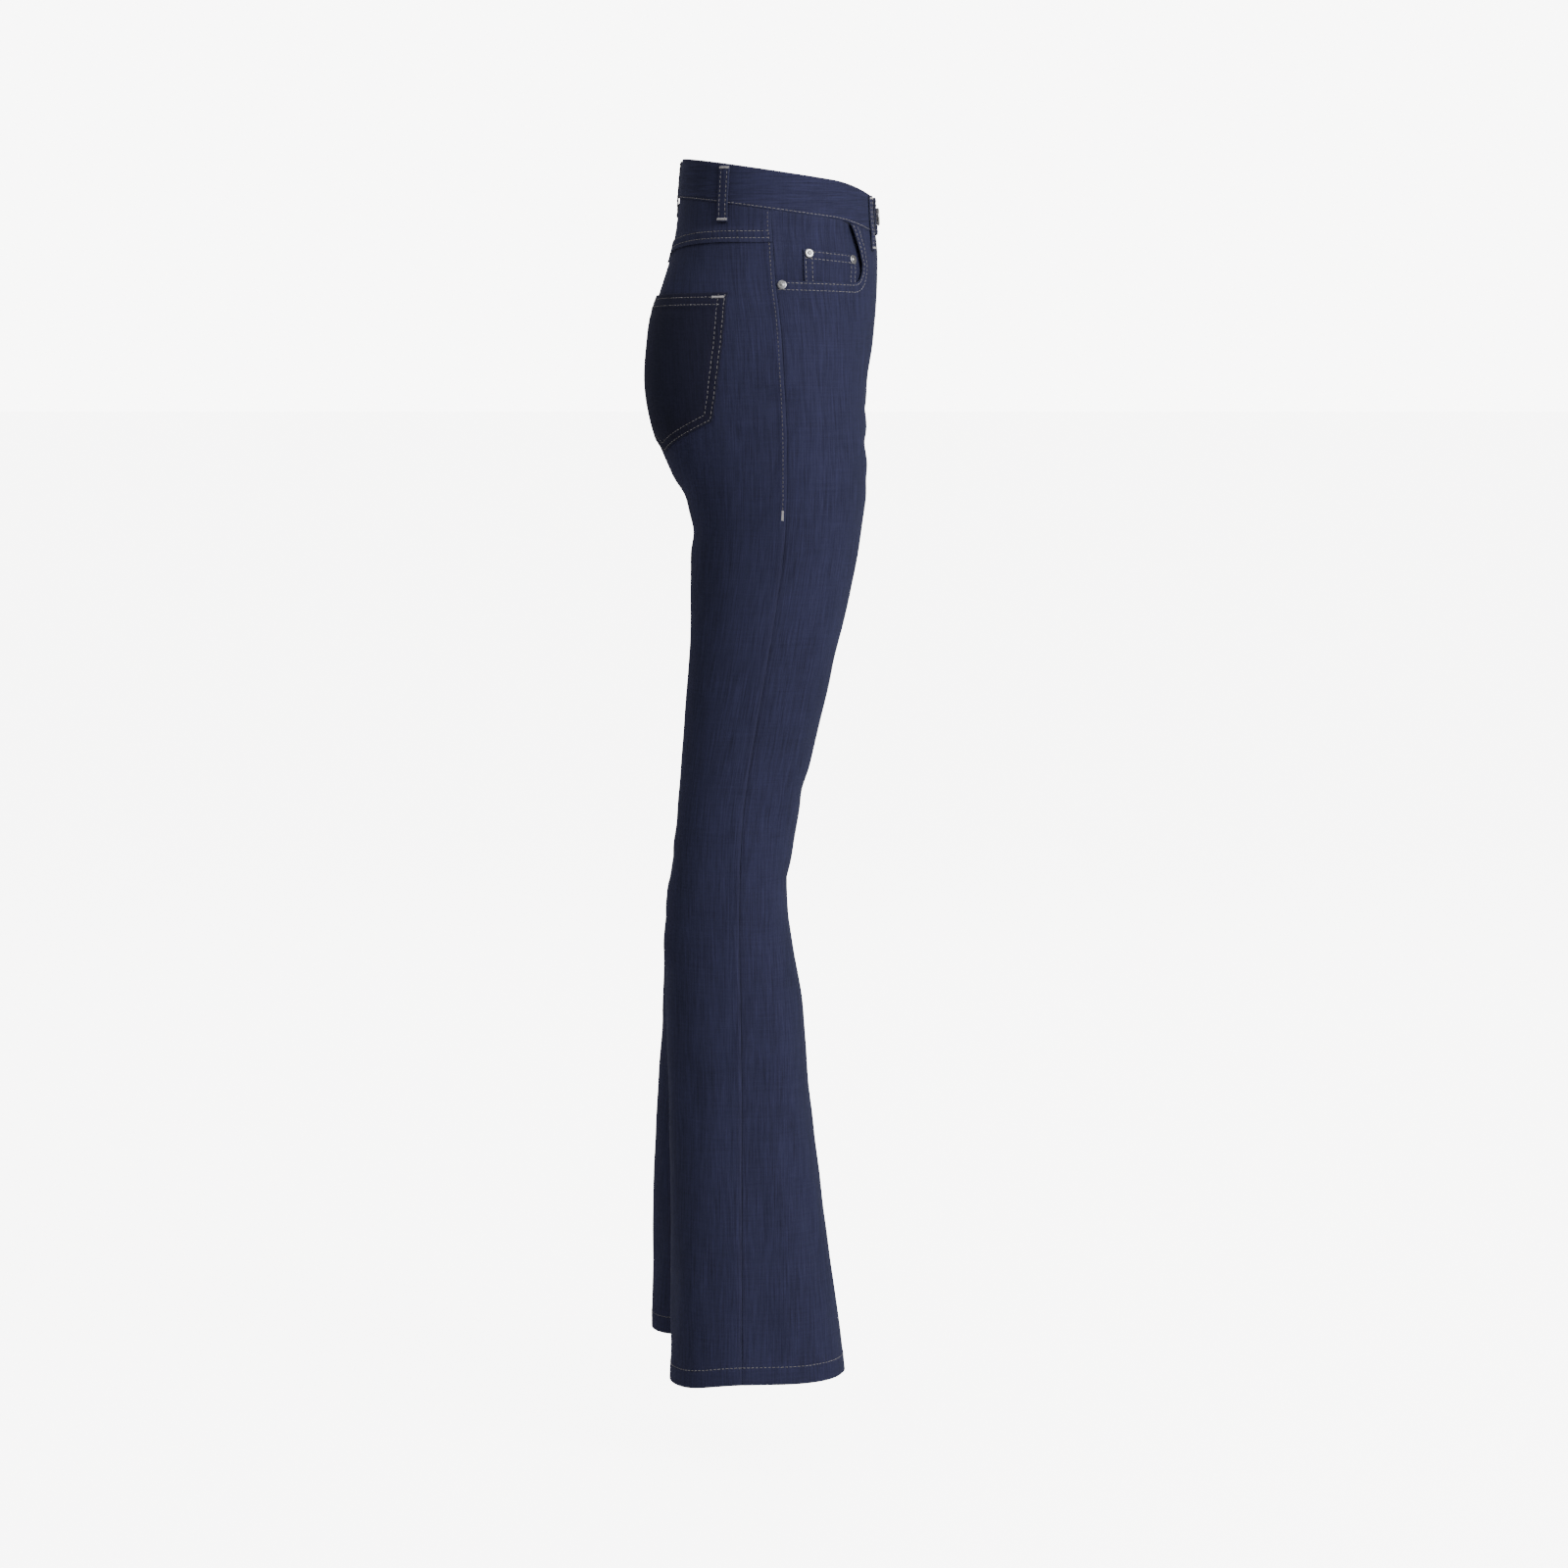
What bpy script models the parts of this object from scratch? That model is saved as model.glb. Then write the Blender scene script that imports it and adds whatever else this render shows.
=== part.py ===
"""Bootcut jeans, worn shape, hollow, open at the waist and at both hems.

Metres, +Z up. The front of the garment faces -Y and the wearer's right side is at -X.
The origin is the middle of the waist, where the wearer holds the jeans up.
Each half is one smooth surface, read from a short table of level sections. Every cloth
piece is a sheet cut from that surface, and what lies on a piece is moved out from it.
"""
import math
from collections import namedtuple
from functools import lru_cache

import bpy
from mathutils import Matrix, Vector

MM = 0.001

# Cloth and gaps
DENIM = 1.2 * MM            # wall of one denim layer
LIGHT_DENIM = 1.0 * MM      # wall of the layers that lie inside
BAND_WALL = 2.6 * MM        # waistband, folded double
LOOP_WALL = 1.4 * MM        # belt loop, folded webbing of denim
SEAM_GAP = 0.3 * MM         # between two pieces that are sewn edge to edge
LAYER_GAP = 0.6 * MM        # between two pieces that lie on each other
EDGE_TURN = 0.18 * MM       # added at each seam edge for the slant of its wall
BAND_GAP = 0.6 * MM         # between the panels' top edges and the waistband

# Waist and seat, heights from the origin
CROTCH = -255 * MM
FRONT_RISE = 75 * MM        # height over which the front crotch seam turns upright
BACK_RISE = 130 * MM        # the same at the back
BAND_BACK = 36.5 * MM       # waistband height at centre back
BAND_FRONT = 35.0 * MM      # and at centre front
BAND_PROUD = 0.7 * MM       # the waistband stands this far off the panels
YOKE_SIDE = -41.5 * MM      # yoke seam at the side
YOKE_DIP = 18.0 * MM        # how much lower it is at centre back
YOKE_RUN = 160 * MM         # distance from centre back over which it drops
BODY_TOP = -120 * MM        # level where the rows of a panel start to follow its top edge
WAIST_LEVEL = -15 * MM      # level whose section the waist seam is laid out on
WAIST_SEAM = -15.3 * MM     # height of the waist seam where that section has no depth
WAIST_TILT = 0.136          # it rises towards the back by this share of the depth
WAIST_DIP_FROM = -50 * MM   # and further forward than this depth
WAIST_DIP = 6.0             # it drops by this times the square of the distance, in metres
BAND_DEPTH = 90 * MM        # depth at which the band has its full front or back height

# Fly
FLY_END = -160 * MM
FLY_LAP = 7 * MM            # the left front laps this far over the right front
FLY_RISE = 13 * MM          # height over which the lap lifts clear of the right front
FLY_SPREAD = 9 * MM         # and over which it then widens
FLY_LAP_FROM = 3.45         # line from which the left front starts to ride up
FLY_LAP_RUN = 0.3           # and the share of a quarter over which it does
BAND_LAP = 14 * MM          # half the lap of the waistband's ends
BAND_LAP_FROM = 3.0         # the same two values for the waistband's left end
BAND_LAP_RUN = 0.45
BAND_LAP_GAP = 0.48 * MM    # between the lapped ends

# Front scoop pocket, measured along the cloth from the side seam
SCOOP_TOP = -77.2 * MM      # pocket edge at the side seam
SCOOP_FALL = 2.8 * MM       # how much lower it is where its corner starts
SCOOP_RUN = 80.5 * MM       # straight stretch of the edge
SCOOP_CORNER = 15 * MM      # width and height of its corner
SCOOP_LEAN = -13 * MM       # the edge leans back by this on its way up to the waist
SCOOP_LINE = 2.55           # line near which the edge meets the waist seam
SCOOP_STRAIGHT = 5 / 9      # the straight stretch's share of the edge's columns
SCOOP_TURN = 7 / 9          # and the share at the end of its corner
SCOOP_COLUMNS = 9 / 16      # share of the front panel's columns that end at the pocket
FACING_TUCK = 16 * MM       # the facing runs this far behind the front panel
FACING_TOP = -30 * MM       # level at which its top edge is measured along the cloth

# Hem
HEM = -1085 * MM
HEM_DROP = 7 * MM           # the back of the hem is this much lower
HEM_DEPTH = 18 * MM
HEM_REACH = 70 * MM         # rows this far above the hem still follow its slope
HEM_FOLD_GAP = 0.8 * MM     # between the leg and its turned-up edge
HEM_FOLD_RISE = 0.3 * MM    # the turned-up edge starts this far above the leg's end

# Stance of the left leg, which stands a little behind the right one
STANCE_TOP = -600 * MM
STANCE_END = -980 * MM
STANCE = 22 * MM

SQUARE = 0.93               # 1 gives elliptical sections, less gives squarer ones

# Level sections of one half, in millimetres. front, back and side are the depths (Y) of
# the front, the back and the side seam. outer, centre and inner are distances from the
# middle of the body, of the side seam, of the front-most line and of the inseam.
Section = namedtuple("Section", "z front back side outer centre inner")
SECTIONS = [
    Section(60, -84, 84, 2, 129, 25, 0.15),
    Section(20, -87, 88, 4, 133, 25, 0.15),
    Section(-20, -88.5, 91.5, 5, 139, 30, 0.15),
    Section(-50, -91.5, 96.5, 3, 147, 42, 0.15),
    Section(-80, -91.5, 105.5, 1, 155, 55, 0.15),
    Section(-108, -90, 114.5, -2.5, 162, 62, 0.15),
    Section(-136, -87, 119, -5, 167, 68, 0.15),
    Section(-164, -83, 120.5, -6.5, 170.5, 74, 0.15),
    Section(-191, -82, 118, -8, 172, 78, 0.15),
    Section(-219, -82.5, 111, -9, 172, 82, 0.15),
    Section(-255, -83.5, 95.5, -9, 171, 85.5, 0.15),
    Section(-275, -82, 85.5, -9, 169.5, 87, 1.5),
    Section(-300, -79, 78.5, -8, 168, 88, 5),
    Section(-330, -74, 79, -5.5, 165.5, 88.5, 10),
    Section(-381, -63, 79.5, 1.5, 161, 89, 18),
    Section(-436, -50.5, 81.5, 10.5, 156.5, 90, 24),
    Section(-491, -37.5, 85.5, 20, 152, 90.5, 29),
    Section(-546, -24.5, 90.5, 28.5, 149.5, 91, 33),
    Section(-600, -14.5, 96, 33, 149, 92, 35),
    Section(-640, -10, 101.5, 34, 150, 93, 36),
    Section(-685, -14.5, 105, 34, 152, 94.5, 37),
    Section(-740, -23, 103.5, 33, 154, 96, 38),
    Section(-820, -30, 100, 32, 158.5, 99, 39.5),
    Section(-900, -39, 98.5, 32, 164, 103, 42),
    Section(-985, -51, 98.5, 32, 170, 107, 44),
    Section(-1040, -58.5, 99, 32, 174, 109.5, 45),
    Section(-1100, -65.5, 100.5, 32, 178, 112, 46),
]

# Soft upright folds of the flare. line is the place round the leg (1 back, 2 side seam,
# 3 front), spread its half width there, rise its height and top its upper end, in
# millimetres. Each runs on down to the hem.
Fold = namedtuple("Fold", "side line spread rise top")
FOLDS = [
    Fold(-1, 2.42, 0.20, 2.2, -600),
    Fold(-1, 2.10, 0.12, -1.4, -760),
    Fold(-1, 1.55, 0.18, 1.6, -820),
    Fold(-1, 2.85, 0.14, -1.3, -720),
    Fold(-1, 0.35, 0.25, 1.8, -700),
    Fold(1, 2.38, 0.22, 1.9, -640),
    Fold(1, 2.06, 0.12, -1.2, -740),
    Fold(1, 1.45, 0.20, 1.8, -780),
    Fold(1, 3.55, 0.25, 1.6, -700),
]
FOLD_GROWTH = 250 * MM      # a fold grows to its full rise over this height

# Rows of a panel below BODY_TOP, in millimetres from the hem upwards
PANEL_ROWS = [-1085, -1030, -950, -860, -770, -690, -630, -560, -480, -400, -330, -290,
              -268, -256, -253, -246, -232, -210, -184, -160, -147, -138, -120]
BACK_TOP_ROWS = (0.34, 0.67, 1.0)           # shares of the way up to the top edge
FRONT_TOP_ROWS = (0.26, 0.52, 0.77, 1.0)

Finish = namedtuple("Finish", "name colour roughness metallic")
INDIGO = Finish("indigo_denim", (0.021, 0.024, 0.055), 0.88, 0.0)
DEEP_INDIGO = Finish("deep_indigo_denim", (0.011, 0.011, 0.024), 0.9, 0.0)
TAPE = Finish("zip_tape_navy", (0.012, 0.014, 0.03), 0.85, 0.0)
NICKEL = Finish("brushed_nickel", (0.45, 0.45, 0.46), 0.38, 1.0)


def smooth(value):
    """0 below 0, 1 above 1, and a soft step between."""
    value = min(max(value, 0.0), 1.0)
    return value * value * (3 - 2 * value)


def mix(a, b, share):
    return a + (b - a) * share


@lru_cache(maxsize=None)
def section(z):
    """The section at height z, in metres, on a smooth curve through the table."""
    level = min(max(z / MM, SECTIONS[-1].z), SECTIONS[0].z)
    upper = 1
    while SECTIONS[upper].z > level:
        upper += 1
    rows = SECTIONS[max(upper - 2, 0):upper + 2]
    start = min(upper - 1, 1)
    lower = rows[start + 1]
    higher = rows[start]
    before = rows[start - 1] if start else higher
    after = rows[start + 2] if len(rows) > start + 2 else lower
    span = lower.z - higher.z
    t = (level - higher.z) / span
    values = []
    for name in Section._fields[1:]:
        a, b = getattr(higher, name), getattr(lower, name)
        slope_a = (b - getattr(before, name)) / (lower.z - before.z) * span
        slope_b = (getattr(after, name) - a) / (after.z - higher.z) * span
        values.append((a * (2 * t ** 3 - 3 * t ** 2 + 1) + b * (3 * t ** 2 - 2 * t ** 3)
                       + slope_a * (t ** 3 - 2 * t ** 2 + t) + slope_b * (t ** 3 - t ** 2)) * MM)
    inner = min(max(values[5], SEAM_GAP / 2), 60 * MM)
    return Section(z, *values[:5], inner)


def crotch_share(z, rise):
    """0 where the legs part, 1 where the centre seam has turned upright."""
    height = min(max((z - CROTCH) / rise, 0.0), 1.0)
    return math.sqrt(1 - (1 - height) ** 2)


def hull(side, line, z):
    """A point of the outer face. side is -1 right or 1 left.

    line runs 0 centre back or inseam, 1 back, 2 side seam, 3 front, 4 centre front or
    inseam. Above the crotch it runs on past the centre onto the other half.
    """
    if line > 4:
        side, line = -side, 8 - line
    if line < 0:
        side, line = -side, -line
    cut = section(z)
    middle = (cut.front + cut.back) / 2
    at_back = line <= 2
    reach = cut.back if at_back else cut.front
    turn = abs(line - 2)
    angle = turn * math.pi / 2
    if turn <= 1:
        out = cut.centre + (cut.outer - cut.centre) * max(math.cos(angle), 0) ** SQUARE
        depth = cut.side + (reach - cut.side) * math.sin(angle) ** SQUARE
    else:
        share = crotch_share(z, BACK_RISE if at_back else FRONT_RISE)
        inward = mix(math.sin(angle - math.pi / 2), turn - 1, share)
        out = mix(cut.centre, cut.inner, inward)
        depth = middle + (reach - middle) * math.sqrt(1 - (1 - share ** 2) * inward ** 2)
    for fold in FOLDS:
        if fold.side == side and z < fold.top * MM:
            near = (line - fold.line) / fold.spread
            grown = smooth((fold.top * MM - z) / FOLD_GROWTH)
            rise = fold.rise * MM * grown * math.exp(-near * near)
            away = Vector((out - cut.centre, depth - middle)).normalized()
            out += away.x * rise
            depth += away.y * rise
    if side > 0:
        depth += STANCE * smooth((STANCE_TOP - z) / (STANCE_TOP - STANCE_END))
    return Vector((side * out, depth, z))


def outward(side, line, z):
    """The unit normal of the outer face."""
    low, high = line - 0.01, line + 0.01
    if z < CROTCH + 1 * MM:
        low, high = max(low, 0.0), min(high, 4.0)
    along = hull(side, high, z) - hull(side, low, z)
    up = hull(side, line, z + 1 * MM) - hull(side, line, z - 1 * MM)
    return (side * up.cross(along)).normalized()


def place(side, line, z, lift=0.0):
    """A point moved out from the outer face by lift."""
    return hull(side, line, z) + outward(side, line, z) * lift


@lru_cache(maxsize=None)
def walk(z):
    """Distances along one half's section, at 25 places for each quarter."""
    places = [i / 25 for i in range(101)]
    points = [hull(-1, line, z) for line in places]
    run = [0.0]
    for a, b in zip(points, points[1:]):
        run.append(run[-1] + (b - a).length)
    return places, run


def line_at(distance, z):
    """The line at a distance along the cloth from centre back, at height z."""
    places, run = walk(round(z, 4))
    if distance < 0:
        return distance / run[25]
    for i in range(1, len(run)):
        if run[i] >= distance:
            share = (distance - run[i - 1]) / (run[i] - run[i - 1])
            return mix(places[i - 1], places[i], share)
    return 4.0 + (distance - run[-1]) / (run[100] - run[75])


def from_side(distance, z):
    """The line at a distance along the front from the side seam."""
    return line_at(walk(round(z, 4))[1][50] + distance, z)


def from_front(distance, z):
    """The line at a distance from centre front; negative goes past it."""
    return line_at(walk(round(z, 4))[1][100] - distance, z)


def waist_seam(line):
    """Height of the seam under the waistband, lower at the front."""
    depth = hull(-1, line, WAIST_LEVEL).y
    dip = max(WAIST_DIP_FROM - depth, 0.0)
    return WAIST_SEAM + WAIST_TILT * depth - WAIST_DIP * dip * dip


def band_height(line):
    depth = hull(-1, line, WAIST_LEVEL).y
    return mix(BAND_FRONT, BAND_BACK, (depth + BAND_DEPTH) / (2 * BAND_DEPTH))


def yoke_seam(line):
    """Height of the yoke seam, lowest at centre back."""
    distance = walk(round(YOKE_SIDE, 4))[1][min(int(round(line * 25)), 50)]
    return YOKE_SIDE - YOKE_DIP * (1 - math.sin(min(distance / YOKE_RUN, 1.0) * math.pi / 2))


def hem_height(line):
    cut = section(HEM)
    depth = hull(-1, line, HEM).y
    return HEM - HEM_DROP * smooth((depth - cut.side) / (cut.back - cut.side))


def scoop_edge(share):
    """Pocket edge from the side seam (0) to the waist seam (1): distance and height."""
    if share < SCOOP_STRAIGHT:
        run = share / SCOOP_STRAIGHT
        return SCOOP_RUN * run, SCOOP_TOP - SCOOP_FALL * run
    turn = min((share - SCOOP_STRAIGHT) / (SCOOP_TURN - SCOOP_STRAIGHT), 1.0) * math.pi / 2
    distance = SCOOP_RUN + SCOOP_CORNER * math.sin(turn)
    height = SCOOP_TOP - SCOOP_FALL + SCOOP_CORNER * (1 - math.cos(turn))
    if share > SCOOP_TURN:
        climb = (share - SCOOP_TURN) / (1 - SCOOP_TURN)
        distance += SCOOP_LEAN * climb
        height = mix(height, waist_seam(from_side(distance, height)), climb)
    return distance, height


def collection(name):
    found = bpy.data.collections.get(name)
    if found is None:
        found = bpy.data.collections.new(name)
        bpy.context.scene.collection.children.link(found)
    return found


def material(name, finish):
    made = bpy.data.materials.new(name + "_" + finish.name)
    made.use_nodes = True
    shader = made.node_tree.nodes["Principled BSDF"]
    shader.inputs["Base Color"].default_value = (*finish.colour, 1)
    shader.inputs["Roughness"].default_value = finish.roughness
    shader.inputs["Metallic"].default_value = finish.metallic
    return made


def add_piece(name, mesh, finish):
    """Link a mesh as one named sub-part with a material of its own."""
    mesh.materials.append(material(name, finish))
    piece = bpy.data.objects.new(name, mesh)
    collection("bootcut_jeans").objects.link(piece)
    return piece


def shell(name, rows, wall, finish, flip, closed=False):
    """A cloth piece: a sheet through rows of points, thickened inwards by its wall."""
    wide = len(rows[0])
    faces = []
    for j in range(len(rows) - 1):
        for i in range(wide if closed else wide - 1):
            after = (i + 1) % wide
            face = [j * wide + i, j * wide + after, (j + 1) * wide + after, (j + 1) * wide + i]
            faces.append([face[0], *face[:0:-1]] if flip else face)
    mesh = bpy.data.meshes.new(name)
    mesh.from_pydata([point for row in rows for point in row], [], faces)
    mesh.shade_smooth()
    piece = add_piece(name, mesh, finish)
    thick = piece.modifiers.new("wall", "SOLIDIFY")
    thick.thickness = wall
    thick.offset = -1
    return piece


def open_seams(rows, column, push):
    """Move one edge column of a panel along Y, to leave the seam's gap."""
    for row in rows:
        row[column].y += push


def side_name(side):
    return "right" if side < 0 else "left"


def tilt_to_hem(line, level):
    """Height of a panel row, which follows the hem near the hem."""
    pull = smooth(1 - (level - HEM) / HEM_REACH)
    return level + (hem_height(line) - HEM) * pull


BACK_COLUMNS = [i / 4 for i in range(4)] + [1 + i / 8 for i in range(9)]   # lines
FRONT_BASE = [i / 16 for i in range(17)]    # shares of the way from side seam to centre
LAP_COLUMN = 0.6            # the last column before the fly's edge lies this far towards it


def build_back_panel(side):
    rows = []
    for level in PANEL_ROWS:
        rows.append([place(side, line, tilt_to_hem(line, level * MM))
                     for line in BACK_COLUMNS])
    for share in BACK_TOP_ROWS:
        rows.append([place(side, line, mix(BODY_TOP, yoke_seam(line) - SEAM_GAP / 2, share))
                     for line in BACK_COLUMNS])
    push = SEAM_GAP / 2 + EDGE_TURN
    open_seams(rows, -1, push)
    open_seams([row for row in rows if row[0].z < CROTCH], 0, push)
    shell("back_panel_" + side_name(side), rows, DENIM, INDIGO, side > 0)


def front_top(share):
    """Top edge of the front panel: the pocket edge, then the waist seam to centre front."""
    if share <= SCOOP_COLUMNS:
        distance, height = scoop_edge(share / SCOOP_COLUMNS)
        line = from_side(distance, height)
        return line, min(height, waist_seam(line) - SEAM_GAP / 2)
    corner = from_side(SCOOP_RUN + SCOOP_CORNER + SCOOP_LEAN, waist_seam(SCOOP_LINE))
    line = mix(corner, 4.0, (share - SCOOP_COLUMNS) / (1 - SCOOP_COLUMNS))
    return line, waist_seam(line) - SEAM_GAP / 2


def fly_lift(side, line, z):
    """The left front rides up over the right one above the end of the fly."""
    if side < 0:
        return 0.0
    rise = smooth((line - FLY_LAP_FROM) / FLY_LAP_RUN) * smooth((z - FLY_END) / FLY_RISE)
    return (DENIM + LAYER_GAP) * rise


def fly_edge(z):
    """The line of the left front's edge, past the centre where it laps over the right."""
    widened = smooth((z - FLY_END - FLY_RISE) / FLY_SPREAD)
    return 4 + FLY_LAP / section(z).centre * widened


def build_front_panel(side):
    rows = []
    for level in PANEL_ROWS:
        z = level * MM
        lines = [2 + share * 2 for share in FRONT_BASE]
        if side > 0:
            lines[-1] = mix(lines[-2], fly_edge(z), LAP_COLUMN)
            lines.append(fly_edge(z))
        rows.append([(line, tilt_to_hem(min(line, 4), z)) for line in lines])
    base = rows[-1]
    for share in FRONT_TOP_ROWS:
        row = []
        for column, (line, z) in zip(FRONT_BASE, base):
            top_line, top_z = front_top(column)
            row.append((mix(line, top_line, share), mix(z, top_z, share)))
        if side > 0:
            z = mix(base[-1][1], waist_seam(4.0) - SEAM_GAP / 2, share)
            row[-1] = (mix(row[-2][0], fly_edge(z), LAP_COLUMN), row[-1][1])
            row.append((fly_edge(z), z))
        rows.append(row)
    points = [[place(side, line, z, fly_lift(side, line, z)) for line, z in row] for row in rows]
    push = SEAM_GAP / 2 + EDGE_TURN
    open_seams(points, 0, -push)
    legs = [row for row in points if row[-1].z < CROTCH]
    open_seams(legs, -1, -push)
    shell("front_panel_" + side_name(side), points, DENIM, INDIGO, side > 0)


def build_yoke(side):
    rows = []
    for share in (0.0, 0.5, 1.0):
        row = []
        for line in BACK_COLUMNS:
            low = yoke_seam(line) + SEAM_GAP / 2
            high = waist_seam(line) - SEAM_GAP / 2
            row.append(place(side, line, mix(low, high, share)))
        rows.append(row)
    open_seams(rows, -1, SEAM_GAP / 2 + EDGE_TURN)
    shell("yoke_" + side_name(side), rows, DENIM, INDIGO, side > 0)


def build_waistband():
    """One strip from the right end, round the back, to the left end that laps over it."""
    seam_z = waist_seam(4.0)
    end = from_front(-BAND_LAP, seam_z)
    steps = 24
    places = [mix(-end, 0, i / steps) for i in range(steps)]
    places += [mix(0, end, i / steps) for i in range(steps + 1)]
    rows = []
    for share in (0.0, 0.5, 1.0):
        row = []
        for ring in places:
            line = abs(ring)
            low = waist_seam(min(line, 8 - line)) + BAND_GAP - SEAM_GAP / 2
            z = low + band_height(min(line, 8 - line)) * share
            lapped = smooth((ring - BAND_LAP_FROM) / BAND_LAP_RUN)
            lift = BAND_PROUD + (BAND_WALL + BAND_LAP_GAP) * lapped
            side = 1 if ring >= 0 else -1
            row.append(place(side, line, z, lift))
        rows.append(row)
    shell("waistband", rows, BAND_WALL, INDIGO, True)


def build_facing(side):
    """The denim behind the scoop, from the side seam to past the pocket's corner."""
    reach = SCOOP_RUN + SCOOP_CORNER + FACING_TUCK
    lift = -(DENIM + LIGHT_DENIM + 2 * LAYER_GAP)
    rows = []
    for share in (0.0, 0.25, 0.5, 0.75, 1.0):
        row = []
        for column in range(12):
            distance = reach * column / 11
            bottom = SCOOP_TOP - SCOOP_FALL - FACING_TUCK
            line = from_side(distance, bottom)
            top_line = from_side(distance, FACING_TOP)
            top = waist_seam(top_line) - SEAM_GAP
            row.append(place(side, mix(line, top_line, share), mix(bottom, top, share), lift))
        rows.append(row)
    open_seams(rows, 0, -SEAM_GAP)
    shell("front_pocket_facing_" + side_name(side), rows, LIGHT_DENIM, INDIGO, side > 0)


# Coin pocket, on the right facing: distances from the side seam and heights
COIN_OUTER = 27 * MM
COIN_INNER = 86.5 * MM
COIN_TOP_OUTER = -49 * MM
COIN_TOP_INNER = -54.5 * MM
COIN_BOTTOM = -96 * MM


def build_coin_pocket():
    rows = []
    for share in (0.0, 0.34, 0.67, 1.0):
        row = []
        for column in range(7):
            across = column / 6
            distance = mix(COIN_OUTER, COIN_INNER, across)
            z = mix(COIN_BOTTOM, mix(COIN_TOP_OUTER, COIN_TOP_INNER, across), share)
            row.append(place(-1, from_side(distance, z), z, -(DENIM + LAYER_GAP)))
        rows.append(row)
    shell("coin_pocket", rows, LIGHT_DENIM, INDIGO, False)


# Back pocket: distances from centre back and heights of its corners
PocketEdge = namedtuple("PocketEdge", "inner outer inner_z outer_z")
POCKET_TOP = PocketEdge(32 * MM, 179 * MM, -92 * MM, -88.5 * MM)
POCKET_FOOT = PocketEdge(58 * MM, 188 * MM, -209 * MM, -204 * MM)
POCKET_TIP = 27 * MM        # the point hangs this far below the foot's corners
POCKET_BOW = 9 * MM         # its outer side swells this far forward, halfway down
POCKET_GAP = 1.0 * MM       # stands off the seat's round a little more than flat layers


def build_back_pocket(side):
    rows = []
    for down in range(10):
        share = down / 9
        row = []
        for column in range(13):
            across = column / 12
            top_z = mix(POCKET_TOP.inner_z, POCKET_TOP.outer_z, across)
            foot_z = mix(POCKET_FOOT.inner_z, POCKET_FOOT.outer_z, across)
            foot_z -= POCKET_TIP * (1 - abs(2 * across - 1))
            z = mix(foot_z, top_z, share)
            distance = mix(mix(POCKET_FOOT.inner, POCKET_FOOT.outer, across),
                           mix(POCKET_TOP.inner, POCKET_TOP.outer, across), share)
            distance += POCKET_BOW * across * 4 * share * (1 - share)
            row.append(place(side, line_at(distance, z), z, DENIM + POCKET_GAP))
        rows.append(row)
    shell("back_pocket_" + side_name(side), rows, DENIM, DEEP_INDIGO, side > 0)


# Belt loops
LOOP_WIDTH = 11 * MM
LOOP_STAND = 2.2 * MM       # gap between the loop and the waistband
LOOP_FOOT_GAP = 0.45 * MM   # gap between its foot and the cloth below the band
LOOP_TAIL = 16.5 * MM       # the loop reaches this far below the waist seam
LOOP_TACK = 5 * MM          # length of its flat foot
LOOP_SHOULDER = 6 * MM      # it starts to turn in this far below the band's top edge
LOOP_EDGE = 1 * MM          # and stops this far below it
SIDE_LOOP = 136 * MM        # distance of the side loops from centre back
FRONT_LOOP = 62 * MM        # distance of the front loops from centre front


def build_belt_loop(name, side, distance):
    """A loop at a distance from centre back round the waist."""
    level = 0.0
    lines = [line_at(distance + LOOP_WIDTH * (i / 2 - 0.5), level) for i in range(3)]
    middle = lines[1]
    seam = waist_seam(abs(middle))
    top = seam + band_height(abs(middle))
    flat = LOOP_FOOT_GAP + LOOP_WALL
    proud = BAND_PROUD + LOOP_STAND + LOOP_WALL
    profile = [(seam - LOOP_TAIL, flat), (seam - LOOP_TAIL + LOOP_TACK, flat),
               (seam - LOOP_EDGE, proud), (mix(seam, top, 0.5), proud),
               (top - LOOP_SHOULDER, proud), (top - LOOP_EDGE, BAND_PROUD + flat)]
    rows = [[place(side, line, z, lift) for line in lines] for z, lift in profile]
    shell(name, rows, LOOP_WALL, INDIGO, side > 0)


def build_hem_turn_up(side):
    """The inner fold of the hem, a ring round the leg's opening."""
    lines = BACK_COLUMNS[:-1] + [2 + share * 2 for share in FRONT_BASE[:-1]]
    rows = []
    for rise in (HEM_FOLD_RISE, HEM_DEPTH):
        rows.append([place(side, line, hem_height(line) + rise, -(DENIM + HEM_FOLD_GAP))
                     for line in lines])
    shell("hem_turn_up_" + side_name(side), rows, LIGHT_DENIM, INDIGO, side > 0, closed=True)


def build_fly_strip(name, half_width, lift, sag, wall, top, bottom, finish):
    """A strip behind centre front whose middle bows inwards by sag."""
    rows = []
    for share in (0.0, 0.34, 0.67, 1.0):
        z = mix(bottom, top, share)
        row = []
        for column in range(7):
            across = column / 3 - 1
            line = from_front(half_width * across, z)
            bow = sag * math.cos(across * math.pi / 2)
            row.append(place(1, line, z, lift - bow))
        rows.append(row[::-1])
    shell(name, rows, wall, finish, True)


def frame_at(side, line, z, lift):
    """A matrix at a place on the cloth, its Z along the outward normal, its Y upwards."""
    normal = outward(side, line, z)
    across = Vector((0, 0, 1)).cross(normal).normalized()
    up = normal.cross(across)
    turned = Matrix((across, up, normal)).transposed().to_4x4()
    turned.translation = place(side, line, z, lift)
    return turned


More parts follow.
